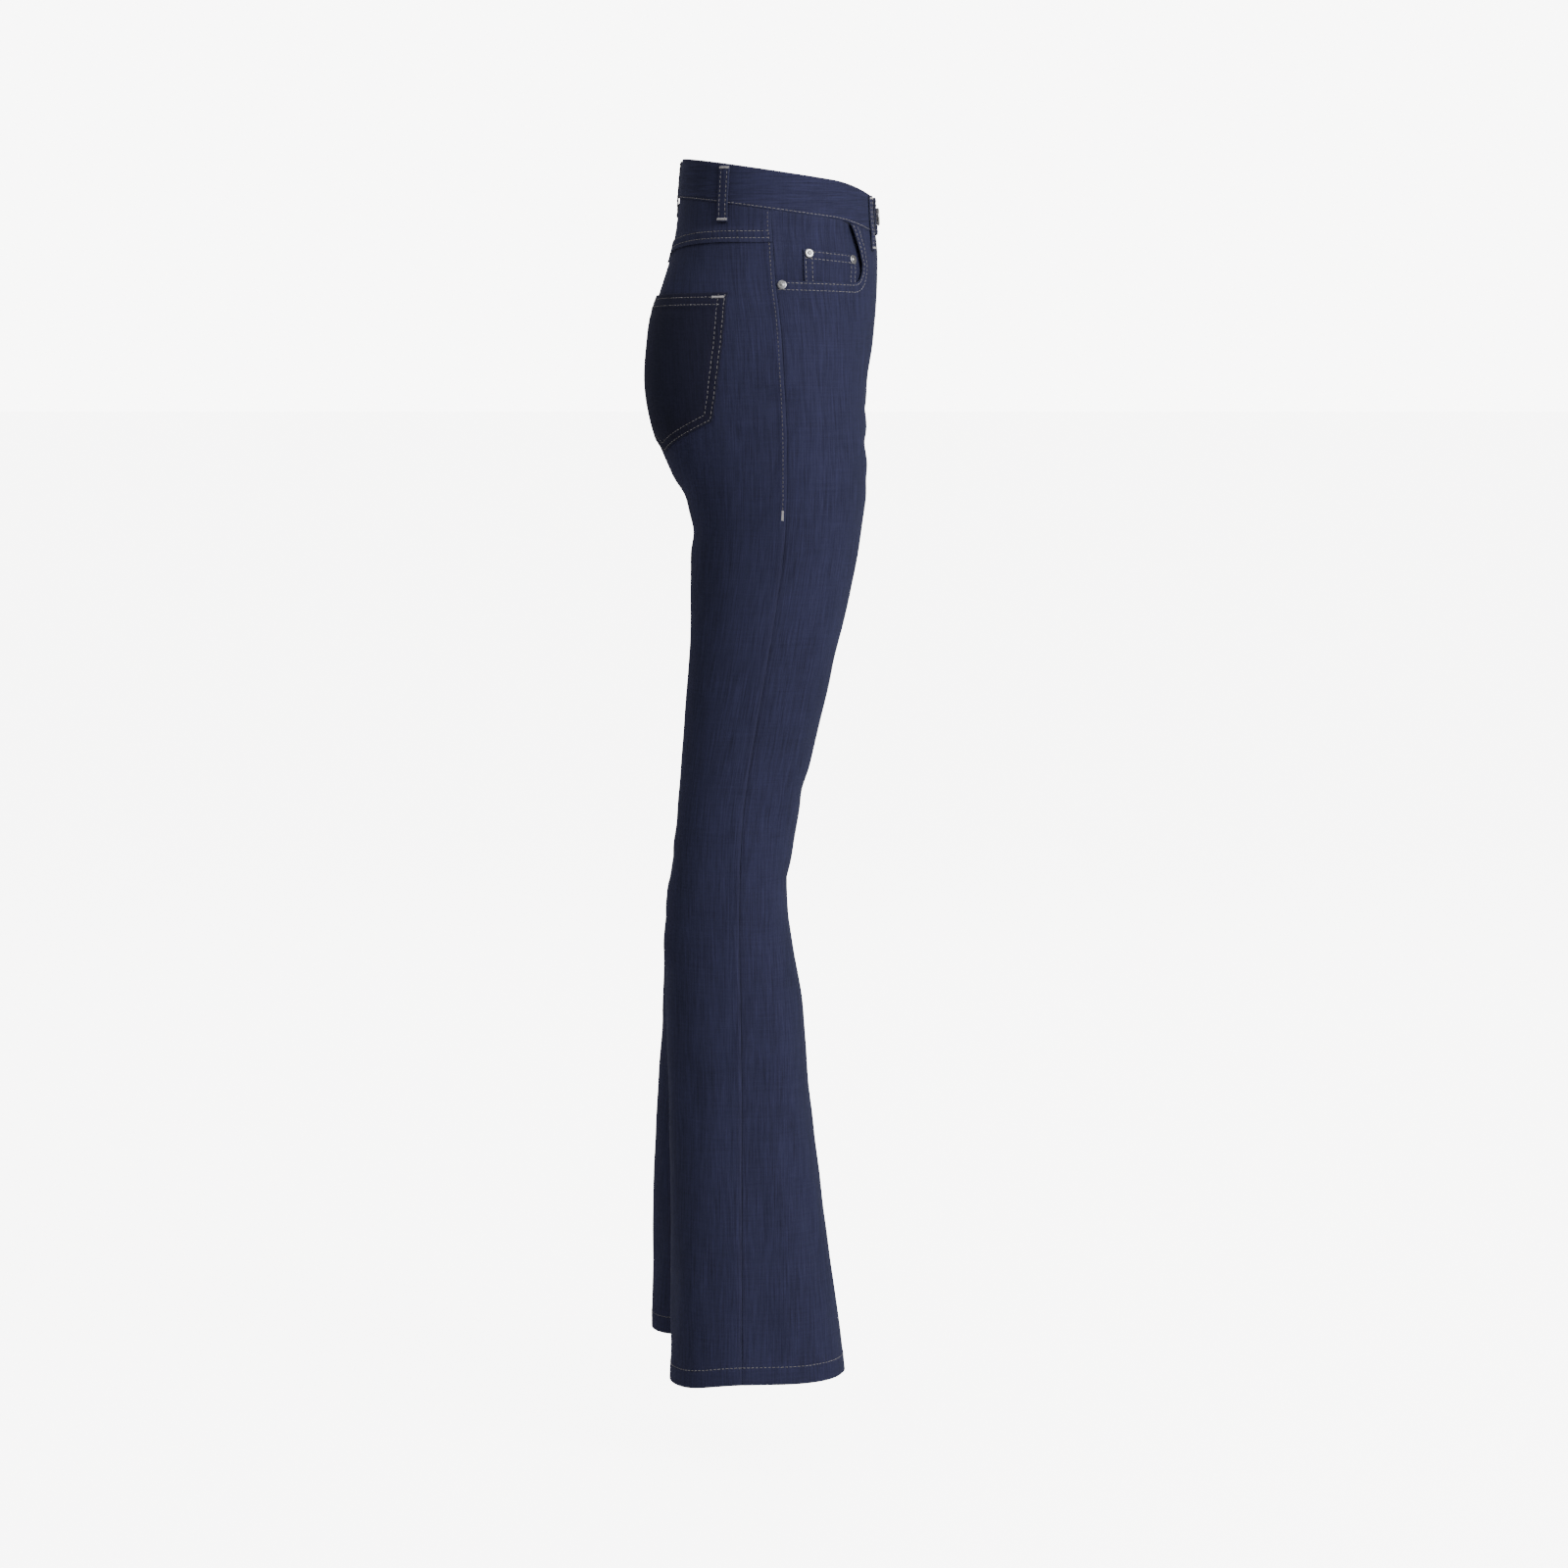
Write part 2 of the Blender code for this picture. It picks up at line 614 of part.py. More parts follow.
def turned_piece(name, profile, steps, where, finish):
    """A round notion from a profile of radius and height, screwed about its own axis."""
    mesh = bpy.data.meshes.new(name)
    points = [(radius, 0, height) for radius, height in profile]
    mesh.from_pydata(points, [(i, i + 1) for i in range(len(points) - 1)], [])
    piece = add_piece(name, mesh, finish)
    spin = piece.modifiers.new("turn", "SCREW")
    spin.angle = math.tau
    spin.steps = steps
    spin.render_steps = steps
    spin.use_merge_vertices = True
    spin.merge_threshold = 0.01 * MM
    spin.use_smooth_shade = True
    piece.matrix_world = where
    return piece


# Notions: radius and height of each profile, from the top of the axis down to its foot
BUTTON_PROFILE = [(0, 2.6), (4.2, 2.3), (7.0, 2.5), (8.3, 2.0), (8.5, 1.1), (7.6, 0.2),
                  (4.0, 0.0), (0, 0)]
RIVET_PROFILE = [(0, 1.5), (1.4, 1.4), (1.9, 0.9), (3.6, 0.9), (4.2, 0.6), (4.3, 0.0), (0, 0)]


def build_button():
    seam = waist_seam(4.0)
    z = seam + BAND_FRONT * 0.5
    lift = BAND_PROUD + BAND_WALL + BAND_LAP_GAP + SEAM_GAP
    profile = [(radius * MM, height * MM) for radius, height in BUTTON_PROFILE]
    turned_piece("waist_button", profile, 16, frame_at(1, FLY_LINE, z, lift), NICKEL)


RIVET_IN = 5.5 * MM           # distance of a rivet from the side edge of its pocket
RIVET_DOWN = 4.2 * MM       # and from the pocket's upper edge


def build_rivets():
    """Rivets at the side end of each scoop and at the coin pocket's two top corners."""
    scoop = (RIVET_IN, SCOOP_TOP - RIVET_DOWN, 0.0)
    pocket_face = -(DENIM + LAYER_GAP)
    outer = (COIN_OUTER + RIVET_IN, COIN_TOP_OUTER - RIVET_DOWN, pocket_face)
    inner = (COIN_INNER - RIVET_IN, COIN_TOP_INNER - RIVET_DOWN, pocket_face)
    places = {"rivet_scoop_right": (-1, *scoop), "rivet_scoop_left": (1, *scoop),
              "rivet_coin_outer": (-1, *outer), "rivet_coin_inner": (-1, *inner)}
    profile = [(radius * MM, height * MM) for radius, height in RIVET_PROFILE]
    for name, (side, distance, z, lift) in places.items():
        where = frame_at(side, from_side(distance, z), z, lift + SEAM_GAP)
        turned_piece(name, profile, 10, where, NICKEL)


# Zip, behind the fly
ZIP_LIFT = -(DENIM + LAYER_GAP)
ZIP_BOW = 3.4 * MM          # the middle of the zip hangs this far in
TAPE_HALF = 15 * MM         # half the width of the tape
TAPE_DOWN = 2 * MM          # its upper end is this far below the waist seam
TAPE_PAST = 4 * MM          # its lower end is this far below the end of the fly
SHIELD_HALF = 20 * MM       # half the width of the shield behind it
SHIELD_DOWN = 1 * MM
SHIELD_PAST = 8 * MM

# Slider with its pull tab: heights from its own top edge
SLIDER_TOP = -50 * MM
SLIDER_WALL = 1.8 * MM
SLIDER_HALF = 4 * MM
SLIDER_FOOT = -9 * MM
TAB_HALF = 2.6 * MM
TAB_FOOT = -24 * MM
SLIDER_CLEAR = 0.8 * MM     # between the slider and the tape
FLY_LINE = 3.999            # centre front, a hair to the left so that its normal is defined


def build_zip_slider():
    """Slider body with its pull tab, hanging flat between the fly and the tape."""
    mesh = bpy.data.meshes.new("zip_slider")
    outline = [(-SLIDER_HALF, 0), (SLIDER_HALF, 0), (SLIDER_HALF, SLIDER_FOOT),
               (TAB_HALF, SLIDER_FOOT), (TAB_HALF, TAB_FOOT), (-TAB_HALF, TAB_FOOT),
               (-TAB_HALF, SLIDER_FOOT), (-SLIDER_HALF, SLIDER_FOOT)]
    mesh.from_pydata([(x, z, 0) for x, z in outline], [], [list(range(len(outline)))[::-1]])
    piece = add_piece("zip_slider", mesh, NICKEL)
    thick = piece.modifiers.new("plate", "SOLIDIFY")
    thick.thickness = SLIDER_WALL
    thick.offset = -1
    lift = ZIP_LIFT - ZIP_BOW + SLIDER_WALL + SLIDER_CLEAR
    piece.matrix_world = frame_at(1, FLY_LINE, SLIDER_TOP, lift)


def build_fly():
    top = waist_seam(4.0)
    build_fly_strip("zip_tape", TAPE_HALF, ZIP_LIFT, ZIP_BOW, LIGHT_DENIM,
                    top - TAPE_DOWN, FLY_END - TAPE_PAST, TAPE)
    build_fly_strip("fly_shield", SHIELD_HALF, ZIP_LIFT - LIGHT_DENIM - LAYER_GAP, ZIP_BOW,
                    LIGHT_DENIM, top - SHIELD_DOWN, FLY_END - SHIELD_PAST, INDIGO)
    build_zip_slider()


def main():
    for old in list(bpy.data.objects):
        bpy.data.objects.remove(old, do_unlink=True)
    for side in (-1, 1):
        build_front_panel(side)
        build_back_panel(side)
        build_yoke(side)
        build_facing(side)
        build_back_pocket(side)
        build_hem_turn_up(side)
    build_coin_pocket()
    build_waistband()
    build_belt_loop("belt_loop_back", 1, 0.0)
    for side in (-1, 1):
        build_belt_loop("belt_loop_side_" + side_name(side), side, SIDE_LOOP)
        front = walk(0.0)[1][-1] - FRONT_LOOP
        build_belt_loop("belt_loop_front_" + side_name(side), side, front)
    build_fly()
    build_button()
    build_rivets()


main()
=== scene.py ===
"""Bootcut jeans in dark rinsed denim: cloth, topstitching and metal, worn shape.

Metres, +Z up. The front of the jeans faces -Y and the wearer's right side is at -X.
Every place on the cloth has a line and a height: the line runs 0 centre back or inseam,
1 back, 2 side seam, 3 front, 4 centre front or inseam, on the side -1 right or 1 left.
The cloth's form is read from the same level sections and seam lines as the pattern.
"""

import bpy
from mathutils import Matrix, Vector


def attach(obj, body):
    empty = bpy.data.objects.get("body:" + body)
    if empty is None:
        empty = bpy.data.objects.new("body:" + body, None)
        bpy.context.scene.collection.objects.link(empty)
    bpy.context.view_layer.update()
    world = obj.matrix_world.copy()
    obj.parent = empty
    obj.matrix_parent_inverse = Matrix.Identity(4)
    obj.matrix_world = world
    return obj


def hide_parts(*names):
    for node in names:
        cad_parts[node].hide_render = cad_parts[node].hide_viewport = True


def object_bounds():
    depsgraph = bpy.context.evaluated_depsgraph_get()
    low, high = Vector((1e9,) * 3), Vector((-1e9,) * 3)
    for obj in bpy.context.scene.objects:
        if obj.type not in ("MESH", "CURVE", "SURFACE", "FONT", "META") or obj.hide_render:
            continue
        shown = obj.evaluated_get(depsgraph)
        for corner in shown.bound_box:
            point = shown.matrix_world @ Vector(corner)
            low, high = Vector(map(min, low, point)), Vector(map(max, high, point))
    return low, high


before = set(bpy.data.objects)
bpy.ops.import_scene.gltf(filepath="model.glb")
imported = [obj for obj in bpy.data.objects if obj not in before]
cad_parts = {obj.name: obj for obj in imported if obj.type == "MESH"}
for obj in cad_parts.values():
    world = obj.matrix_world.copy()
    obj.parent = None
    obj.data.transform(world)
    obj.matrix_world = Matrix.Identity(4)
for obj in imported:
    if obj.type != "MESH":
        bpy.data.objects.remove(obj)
CAD_BOX = [list(corner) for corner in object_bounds()]

import math
from collections import namedtuple

import bpy
import numpy as np

MM = 0.001
RIGHT, LEFT = SIDES = (-1, 1)

# Cloth and gaps
DENIM = 1.2 * MM            # wall of one denim layer
LIGHT_DENIM = 1.0 * MM      # wall of the layers that lie inside
BAND_WALL = 2.6 * MM        # waistband, folded double
LOOP_WALL = 1.4 * MM        # belt loop
SEAM_GAP = 0.3 * MM
LAYER_GAP = 0.6 * MM
BAND_GAP = 0.6 * MM

# Waist and seat, heights from the middle of the waist
CROTCH = -255 * MM
FRONT_RISE = 75 * MM
BACK_RISE = 130 * MM
BAND_BACK = 36.5 * MM
BAND_FRONT = 35.0 * MM
BAND_PROUD = 0.7 * MM
YOKE_SIDE = -41.5 * MM
YOKE_DIP = 18.0 * MM
YOKE_RUN = 160 * MM
BODY_TOP = -120 * MM
WAIST_LEVEL = -15 * MM
WAIST_SEAM = -15.3 * MM
WAIST_TILT = 0.136
WAIST_DIP_FROM = -50 * MM
WAIST_DIP = 6.0
BAND_DEPTH = 90 * MM

# Fly
FLY_END = -160 * MM
FLY_LAP = 7 * MM
FLY_RISE = 13 * MM
FLY_SPREAD = 9 * MM
FLY_LAP_FROM = 3.45
FLY_LAP_RUN = 0.3
BAND_LAP = 14 * MM
BAND_LAP_FROM = 3.0
BAND_LAP_RUN = 0.45
BAND_LAP_GAP = 0.48 * MM

# Front scoop pocket, measured along the cloth from the side seam
SCOOP_TOP = -77.2 * MM
SCOOP_FALL = 2.8 * MM
SCOOP_RUN = 80.5 * MM
SCOOP_CORNER = 15 * MM
SCOOP_LEAN = -13 * MM
SCOOP_LINE = 2.55
SCOOP_STRAIGHT = 5 / 9
SCOOP_TURN = 7 / 9
SCOOP_COLUMNS = 9 / 16
FACING_TUCK = 16 * MM
FACING_TOP = -30 * MM

# Hem and stance
HEM = -1085 * MM
HEM_DROP = 7 * MM
HEM_DEPTH = 18 * MM
STANCE_TOP = -600 * MM
STANCE_END = -980 * MM
STANCE = 22 * MM
SQUARE = 0.93

# Level sections of one half, in millimetres: height, depth of front, back and side seam,
# then distances from the middle of the body of side seam, front-most line and inseam.
Section = namedtuple("Section", "z front back side outer centre inner")
SECTIONS = np.array([
    (60, -84, 84, 2, 129, 25, 0.15),
    (20, -87, 88, 4, 133, 25, 0.15),
    (-20, -88.5, 91.5, 5, 139, 30, 0.15),
    (-50, -91.5, 96.5, 3, 147, 42, 0.15),
    (-80, -91.5, 105.5, 1, 155, 55, 0.15),
    (-108, -90, 114.5, -2.5, 162, 62, 0.15),
    (-136, -87, 119, -5, 167, 68, 0.15),
    (-164, -83, 120.5, -6.5, 170.5, 74, 0.15),
    (-191, -82, 118, -8, 172, 78, 0.15),
    (-219, -82.5, 111, -9, 172, 82, 0.15),
    (-255, -83.5, 95.5, -9, 171, 85.5, 0.15),
    (-275, -82, 85.5, -9, 169.5, 87, 1.5),
    (-300, -79, 78.5, -8, 168, 88, 5),
    (-330, -74, 79, -5.5, 165.5, 88.5, 10),
    (-381, -63, 79.5, 1.5, 161, 89, 18),
    (-436, -50.5, 81.5, 10.5, 156.5, 90, 24),
    (-491, -37.5, 85.5, 20, 152, 90.5, 29),
    (-546, -24.5, 90.5, 28.5, 149.5, 91, 33),
    (-600, -14.5, 96, 33, 149, 92, 35),
    (-640, -10, 101.5, 34, 150, 93, 36),
    (-685, -14.5, 105, 34, 152, 94.5, 37),
    (-740, -23, 103.5, 33, 154, 96, 38),
    (-820, -30, 100, 32, 158.5, 99, 39.5),
    (-900, -39, 98.5, 32, 164, 103, 42),
    (-985, -51, 98.5, 32, 170, 107, 44),
    (-1040, -58.5, 99, 32, 174, 109.5, 45),
    (-1100, -65.5, 100.5, 32, 178, 112, 46),
]) * MM

# Soft upright folds of the flare: line, half width there, rise and height of the upper
# end, both in millimetres.
Fold = namedtuple("Fold", "side line spread rise top")
FOLDS = [
    Fold(RIGHT, 2.42, 0.20, 2.2, -600),
    Fold(RIGHT, 2.10, 0.12, -1.4, -760),
    Fold(RIGHT, 1.55, 0.18, 1.6, -820),
    Fold(RIGHT, 2.85, 0.14, -1.3, -720),
    Fold(RIGHT, 0.35, 0.25, 1.8, -700),
    Fold(LEFT, 2.38, 0.22, 1.9, -640),
    Fold(LEFT, 2.06, 0.12, -1.2, -740),
    Fold(LEFT, 1.45, 0.20, 1.8, -780),
    Fold(LEFT, 3.55, 0.25, 1.6, -700),
]
FOLD_GROWTH = 250 * MM

# Creases of each side, in millimetres. start and end lie that far along the cloth from the
# side seam, forwards positive; from_z and to_z are their heights. width is the half width,
# depth the sink of the trough (a ridge if negative), bow how far its middle bends aside.
Crease = namedtuple("Crease", "start from_z end to_z width depth bow")
CREASES = {
    RIGHT: [
        # outer side
        (-26, -186, 22, -191, 6, 1.0, 2),
        (-52, -216, -18, -222, 6, 0.9, -2),
        (6, -238, 44, -229, 7, 0.6, 3),
        (8, -567, 48, -575, 7, 1.2, 3),
        (6, -664, 52, -671, 8, 1.3, -3),
        (-16, -612, 22, -619, 8, 0.6, 2),
        (41, -876, 90, -1022, 9, 2.0, 5),
        (-46, -786, -56, -905, 9, 1.2, 3),
        (0, -748, 2, -826, 6, -0.8, 1),
        (27, -690, 34, -985, 14, -0.8, 4),
        (-70, -955, -90, -1072, 10, 1.3, -5),
        (18, -996, 30, -1078, 8, 0.8, 3),
        (-40, -420, -62, -500, 12, 0.6, 4),
        # front
        (182, -212, 108, -176, 7, 1.6, 6),
        (188, -231, 92, -213, 8, 2.0, 8),
        (194, -252, 102, -253, 8, 1.8, 6),
        (198, -277, 126, -298, 9, 1.4, -5),
        (200, -302, 148, -347, 9, 1.0, -6),
        (122, -378, 78, -446, 11, 0.8, 4),
        (66, -545, 148, -561, 9, 1.3, 6),
        (58, -630, 138, -614, 9, 1.4, -6),
        (88, -692, 160, -671, 8, 1.0, -5),
        (118, -756, 136, -902, 11, 1.0, 4),
        # back
        (-205, -262, -108, -273, 9, 1.9, -8),
        (-214, -289, -92, -306, 9, 2.2, -9),
        (-206, -320, -128, -342, 9, 1.3, -6),
        (-118, -398, -150, -474, 11, 0.9, 4),
        (-172, -586, -84, -572, 8, 1.9, 5),
        (-164, -619, -72, -609, 8, 2.3, -5),
        (-176, -650, -92, -661, 9, 1.9, 6),
        (-146, -699, -66, -717, 9, 1.1, -4),
        (-108, -788, -140, -908, 12, 1.2, 5),
        (-146, -957, -122, -1071, 11, 1.3, -5),
    ],
    LEFT: [
        # outer side
        (-22, -181, 26, -187, 6, 0.9, 2),
        (-46, -223, -8, -229, 7, 1.0, -3),
        (10, -574, 54, -566, 7, 1.1, -3),
        (2, -656, 50, -666, 8, 1.3, 4),
        (36, -862, 84, -1004, 10, 1.8, 6),
        (-52, -802, -60, -921, 9, 1.2, -3),
        (24, -706, 36, -972, 14, -0.8, -4),
        (-76, -942, -92, -1066, 10, 1.3, 5),
        (-38, -404, -58, -486, 12, 0.7, -4),
        # front
        (180, -208, 104, -170, 7, 1.5, 6),
        (186, -228, 86, -206, 8, 2.1, 8),
        (192, -250, 108, -246, 8, 1.7, 5),
        (198, -275, 118, -291, 9, 1.5, -6),
        (200, -304, 152, -340, 9, 1.0, -5),
        (116, -386, 84, -462, 11, 0.8, -4),
        (62, -552, 152, -548, 9, 1.4, -5),
        (54, -622, 132, -630, 9, 1.3, 6),
        (96, -684, 166, -666, 8, 1.1, 5),
        (110, -770, 132, -920, 11, 1.0, -4),
        # back
        (-205, -258, -118, -266, 9, 1.8, -8),
        (-214, -284, -86, -296, 9, 2.3, -9),
        (-204, -314, -136, -336, 9, 1.2, -6),
        (-124, -388, -146, -462, 11, 0.9, -4),
        (-176, -578, -92, -570, 8, 2.0, -5),
        (-160, -608, -68, -614, 8, 2.2, 5),
        (-172, -645, -96, -642, 9, 1.8, -6),
        (-150, -688, -74, -703, 9, 1.2, 4),
        (-112, -778, -136, -896, 12, 1.2, -5),
        (-142, -948, -126, -1068, 11, 1.2, 5),
    ],
}
CREASE_DEPTH = 1.15 * MM    # of a crease whose own depth is 1
CREASE_SPREAD = 1.4         # its width, as a share of what the list gives
CREASE_RIDGE = 0.45         # the ridge beside a trough, as a share of its depth

# Slow unevenness of the cloth, in millimetres: wavelengths across and along, and height
Swell = namedtuple("Swell", "across along height phase")
CALM_LINES = 0.35           # the cloth lies calmer this near its centre seams
WAIST_CALM = 0.25           # and at the waist, where this share of its unevenness is left
YOKE_LEVEL = -90 * MM
SWELLS = [Swell(230, 390, 0.50, 0.4), Swell(-128, 176, 0.30, 1.9), Swell(71, 133, 0.16, 4.1),
          Swell(-88, 57, 0.12, 2.6), Swell(47, -74, 0.08, 5.2)]

# Stitching
THREAD_RADIUS = 0.31 * MM
Stitch = namedtuple("Stitch", "pitch length raised")    # raised is a share of the radius
STITCH = Stitch(3.9 * MM, 3.2 * MM, 0.35)
TACK = Stitch(0.5 * MM, 2.3 * MM, 0.55)
ROW_PAINTED_LIGHT = 0.235            # how lit a row's thread is painted: 0 is the painted shade of thread sunk in its seam, 1 a bar tack's painted highlight
# the side seam's thread is painted in shade, as if sunk in its seam
SEAM_PAINTED_LIGHT = {"side_seam_stitching": 0.0}
TACK_SLANT = 0.12           # a bar tack's stitches lie this much along it
STITCH_TURN = 0.05          # stitches differ by this in direction
STITCH_CHANGE = 0.07        # and by this share in length
ROWS = (2.0 * MM, 8.2 * MM)             # a double row, from the edge that it holds down
SIDE_ROW = 3.3 * MM
HEM_ROW = 16.4 * MM
BAND_ROW = 1.6 * MM
BAND_END_ROW = 1.8 * MM
SEAT_ROWS_FOOT = CROTCH + 12 * MM
INSEAM_ROWS_TOP = CROTCH - 22 * MM
ROW_TUCK = 1.5 * MM         # rows start this far below the yoke's edge
ROW_CLEAR = 0.5 * MM        # and end this far below the waistband
FLY_TACK = 3 * MM           # the lower fly tack, from centre front
FLY_TACK_RISE = 24 * MM     # the upper one, above the fly's end
POCKET_HEM_ROWS = (4.2 * MM, 11.0 * MM)
LOOP_ROW = 2.3 * MM
FLY_ROWS = (36 * MM, 30 * MM)
FLY_TURN = 26 * MM          # height over which the fly's stitching bends to the centre
BUTTONHOLE_MIDDLE = 7 * MM  # to the left of centre front
BUTTONHOLE_REACH = 13 * MM  # half its length
BUTTONHOLE_HALF = 1.7 * MM  # half its width
SIDE_TACK_TOP = -284 * MM
SIDE_TACK_END = -293 * MM
GROOVE = 0.24 * MM
GROOVE_HALF = 0.8 * MM
PUCKER = 8.5 * MM
PUCKER_RISE = 0.16 * MM
PUCKER_REACH = 4.5 * MM

# Raised bands where the cloth lies double
FELL = 9.6 * MM             # width of a felled seam
FELL_RISE = 1.25 * MM
FELL_LAP = 1.0 * MM         # the upper piece reaches this far over the lower one
FELL_SOFT = 3 * MM          # width of the soft step at its inner edge
RIDGE = 5.6 * MM            # width of the side seam's turnings, under the back
RIDGE_RISE = 0.55 * MM
RIDGE_FADE = 14 * MM        # they end softly over this height, above the bar tack
INSEAM_TOP = CROTCH - 15 * MM           # the inseam's fell fades out below the crotch
INSEAM_FADE = 60 * MM
EDGE_RUN = 1.4 * MM         # a raised edge comes down to its neighbour over this width
HEM_RISE = 0.4 * MM
HEM_FOLD = 1.1 * MM         # the wall gains this in the hem's fold
HEM_FOLD_TOP = 3.4 * MM     # height of the fold, and of the soft step above it
HEM_FOLD_FADE = 1.4 * MM
TURN_UP_FOOT = 2.8 * MM     # the turn-up starts this high over the hem's edge,
TURN_UP_PAST = 0.5 * MM     # ends this far past the hem's depth
TURN_UP_GAP = 0.2 * MM      # and lies this far inside the leg
SEAM_DIP = 0.5 * MM
SEAM_ROLL = 2.2 * MM
MOUTH_RISE = 0.45 * MM      # turned edge of the scoop
MOUTH_GAPE = 1.5 * MM       # its upright part stands open by this
MOUTH_GAPE_SOFT = 20 * MM   # the gape falls off over this width
MOUTH_GAPE_RUN = 30 * MM    # and sets in over this height
MOUTH_FOOT = 10 * MM        # the side seam below the mouth sets in over this height
POCKET_RISE = 1.9 * MM      # facing and coin pocket rise by this inside the mouth
POCKET_RISE_RUN = 20 * MM
FACING_RISE = 1.5 * MM      # and the facing more by this at its seams
FACING_RISE_RUN = 8 * MM
FACING_SEAM = 12 * MM
COIN_HEM_RISE = 0.3 * MM
POCKET_GAP = 0.25 * MM      # between a back pocket and the panel under it
POCKET_HEM_RISE = 0.5 * MM
POCKET_BULGE = 0.8 * MM     # its middle stands out by this, in from its edges and its top
POCKET_BULGE_IN = 30 * MM
POCKET_BULGE_DOWN = 26 * MM
BAND_CROWN = 0.3 * MM
CELL = 3.6 * MM             # size of the cloth's cells


def smooth(value):
    """0 below 0, 1 above 1, and a soft step between."""
    value = np.clip(value, 0, 1)
    return value * value * (3 - 2 * value)


def mix(a, b, share):
    return a + (b - a) * share


def unit(vectors):
    return vectors / np.linalg.norm(vectors, axis=-1, keepdims=True)


# ---------------------------------------------------------------- the cloth's form

def knot_slopes():
    above = np.vstack([SECTIONS[:1], SECTIONS[:-1]])
    below = np.vstack([SECTIONS[1:], SECTIONS[-1:]])
    rise = below - above
    return rise / rise[:, :1]


SLOPES = knot_slopes()


def section(z):
    """The level sections at heights z, on smooth curves through the table."""
    knots = SECTIONS[:, 0]
    level = np.clip(z, knots[-1], knots[0])
    k = np.clip(np.searchsorted(-knots, -level, side="right") - 1, 0, len(knots) - 2)
    span = (knots[k + 1] - knots[k])[..., None]
    t = (level - knots[k])[..., None] / span
    values = (SECTIONS[k] * (2 * t ** 3 - 3 * t ** 2 + 1)
              + SECTIONS[k + 1] * (3 * t ** 2 - 2 * t ** 3)
              + SLOPES[k] * span * (t ** 3 - 2 * t ** 2 + t)
              + SLOPES[k + 1] * span * (t ** 3 - t ** 2))
    cut = Section(*np.moveaxis(values, -1, 0))
    return cut._replace(inner=np.clip(cut.inner, SEAM_GAP / 2, None))


def as_arrays(side, line, z):
    return np.broadcast_arrays(side, np.asarray(line, float), np.asarray(z, float))


def hull(side, line, z):
    """Points of the plain outer face."""
    side, line, z = as_arrays(side, line, z)
    side = np.where((line > 4) | (line < 0), -side, side)
    line = np.where(line > 4, 8 - line, np.abs(line))
    cut = section(z)
    middle = (cut.front + cut.back) / 2
    at_back = line <= 2
    reach = np.where(at_back, cut.back, cut.front)
    turn = np.abs(line - 2)
    angle = turn * math.pi / 2
    side_out = cut.centre + (cut.outer - cut.centre) * np.clip(np.cos(angle), 0, 1) ** SQUARE
    side_depth = cut.side + (reach - cut.side) * np.clip(np.sin(angle), 0, 1) ** SQUARE
    height = np.clip((z - CROTCH) / np.where(at_back, BACK_RISE, FRONT_RISE), 0, 1)
    share = np.sqrt(1 - (1 - height) ** 2)
    inward = mix(np.sin(angle - math.pi / 2), turn - 1, share)
    inner_out = mix(cut.centre, cut.inner, inward)
    bend = np.sqrt(np.clip(1 - (1 - share ** 2) * inward ** 2, 0, 1))
    inner_depth = middle + (reach - middle) * bend
    out = np.where(turn <= 1, side_out, inner_out)
    depth = np.where(turn <= 1, side_depth, inner_depth)
    for fold in FOLDS:
        near = (line - fold.line) / fold.spread
        grown = smooth((fold.top * MM - z) / FOLD_GROWTH) * (side == fold.side)
        rise = fold.rise * MM * grown * np.exp(-near * near)
        away = np.hypot(out - cut.centre, depth - middle)
        out, depth = out + (out - cut.centre) / away * rise, depth + (depth - middle) / away * rise
    depth = depth + STANCE * smooth((STANCE_TOP - z) / (STANCE_TOP - STANCE_END)) * (side > 0)
    return np.stack([side * out, depth, z], -1)


LINE_STEP = 0.01            # a normal is read across so much of a line, and this height
HEIGHT_STEP = 1 * MM


def outward(side, line, z):
    """Unit normals of the plain outer face."""
    side, line, z = as_arrays(side, line, z)
    legs = z < CROTCH + HEIGHT_STEP
    low = np.where(legs, np.maximum(line - LINE_STEP, 0), line - LINE_STEP)
    high = np.where(legs, np.minimum(line + LINE_STEP, 4), line + LINE_STEP)
    along = hull(side, high, z) - hull(side, low, z)
    up = hull(side, line, z + HEIGHT_STEP) - hull(side, line, z - HEIGHT_STEP)
    return unit(np.cross(up, along) * side[..., None])


LEVEL_STEP = 5 * MM
LEVELS = np.arange(-1115, 65, 5) * MM
LINE_PLACES = 100


def run_tables():
    """Distances along the cloth at each level, and the lines at even distances."""
    lines = np.linspace(0, 4, LINE_PLACES + 1)
    points = hull(RIGHT, lines[None], LEVELS[:, None])
    steps = np.linalg.norm(np.diff(points, axis=1), axis=-1)
    run = np.insert(np.cumsum(steps, axis=1), 0, 0, axis=1)
    shares = np.linspace(0, 1, 2 * LINE_PLACES + 1)
    back = np.array([np.interp(shares * row[-1], row, lines) for row in run])
    return run, back


RUN, LINES_BACK = run_tables()


def read(table, z, column):
    """A value between the rows and columns of a table."""
    z, column = np.broadcast_arrays(np.asarray(z, float), np.asarray(column, float))
    row = np.clip((z - LEVELS[0]) / LEVEL_STEP, 0, len(LEVELS) - 1.001)
    column = np.clip(column, 0, table.shape[1] - 1.001)
    j, i = row.astype(int), column.astype(int)
    lower = mix(table[j, i], table[j, i + 1], column - i)
    upper = mix(table[j + 1, i], table[j + 1, i + 1], column - i)
    return mix(lower, upper, row - j)


def run_to(line, z):
    return read(RUN, z, line * (LINE_PLACES / 4))


def distance_at(line, z):
    """Distance along the cloth from centre back or the inseam."""
    past = np.maximum(line - 4, 0) * (run_to(4, z) - run_to(3, z))
    before = np.minimum(line, 0) * run_to(1, z)
    return run_to(line, z) + past + before


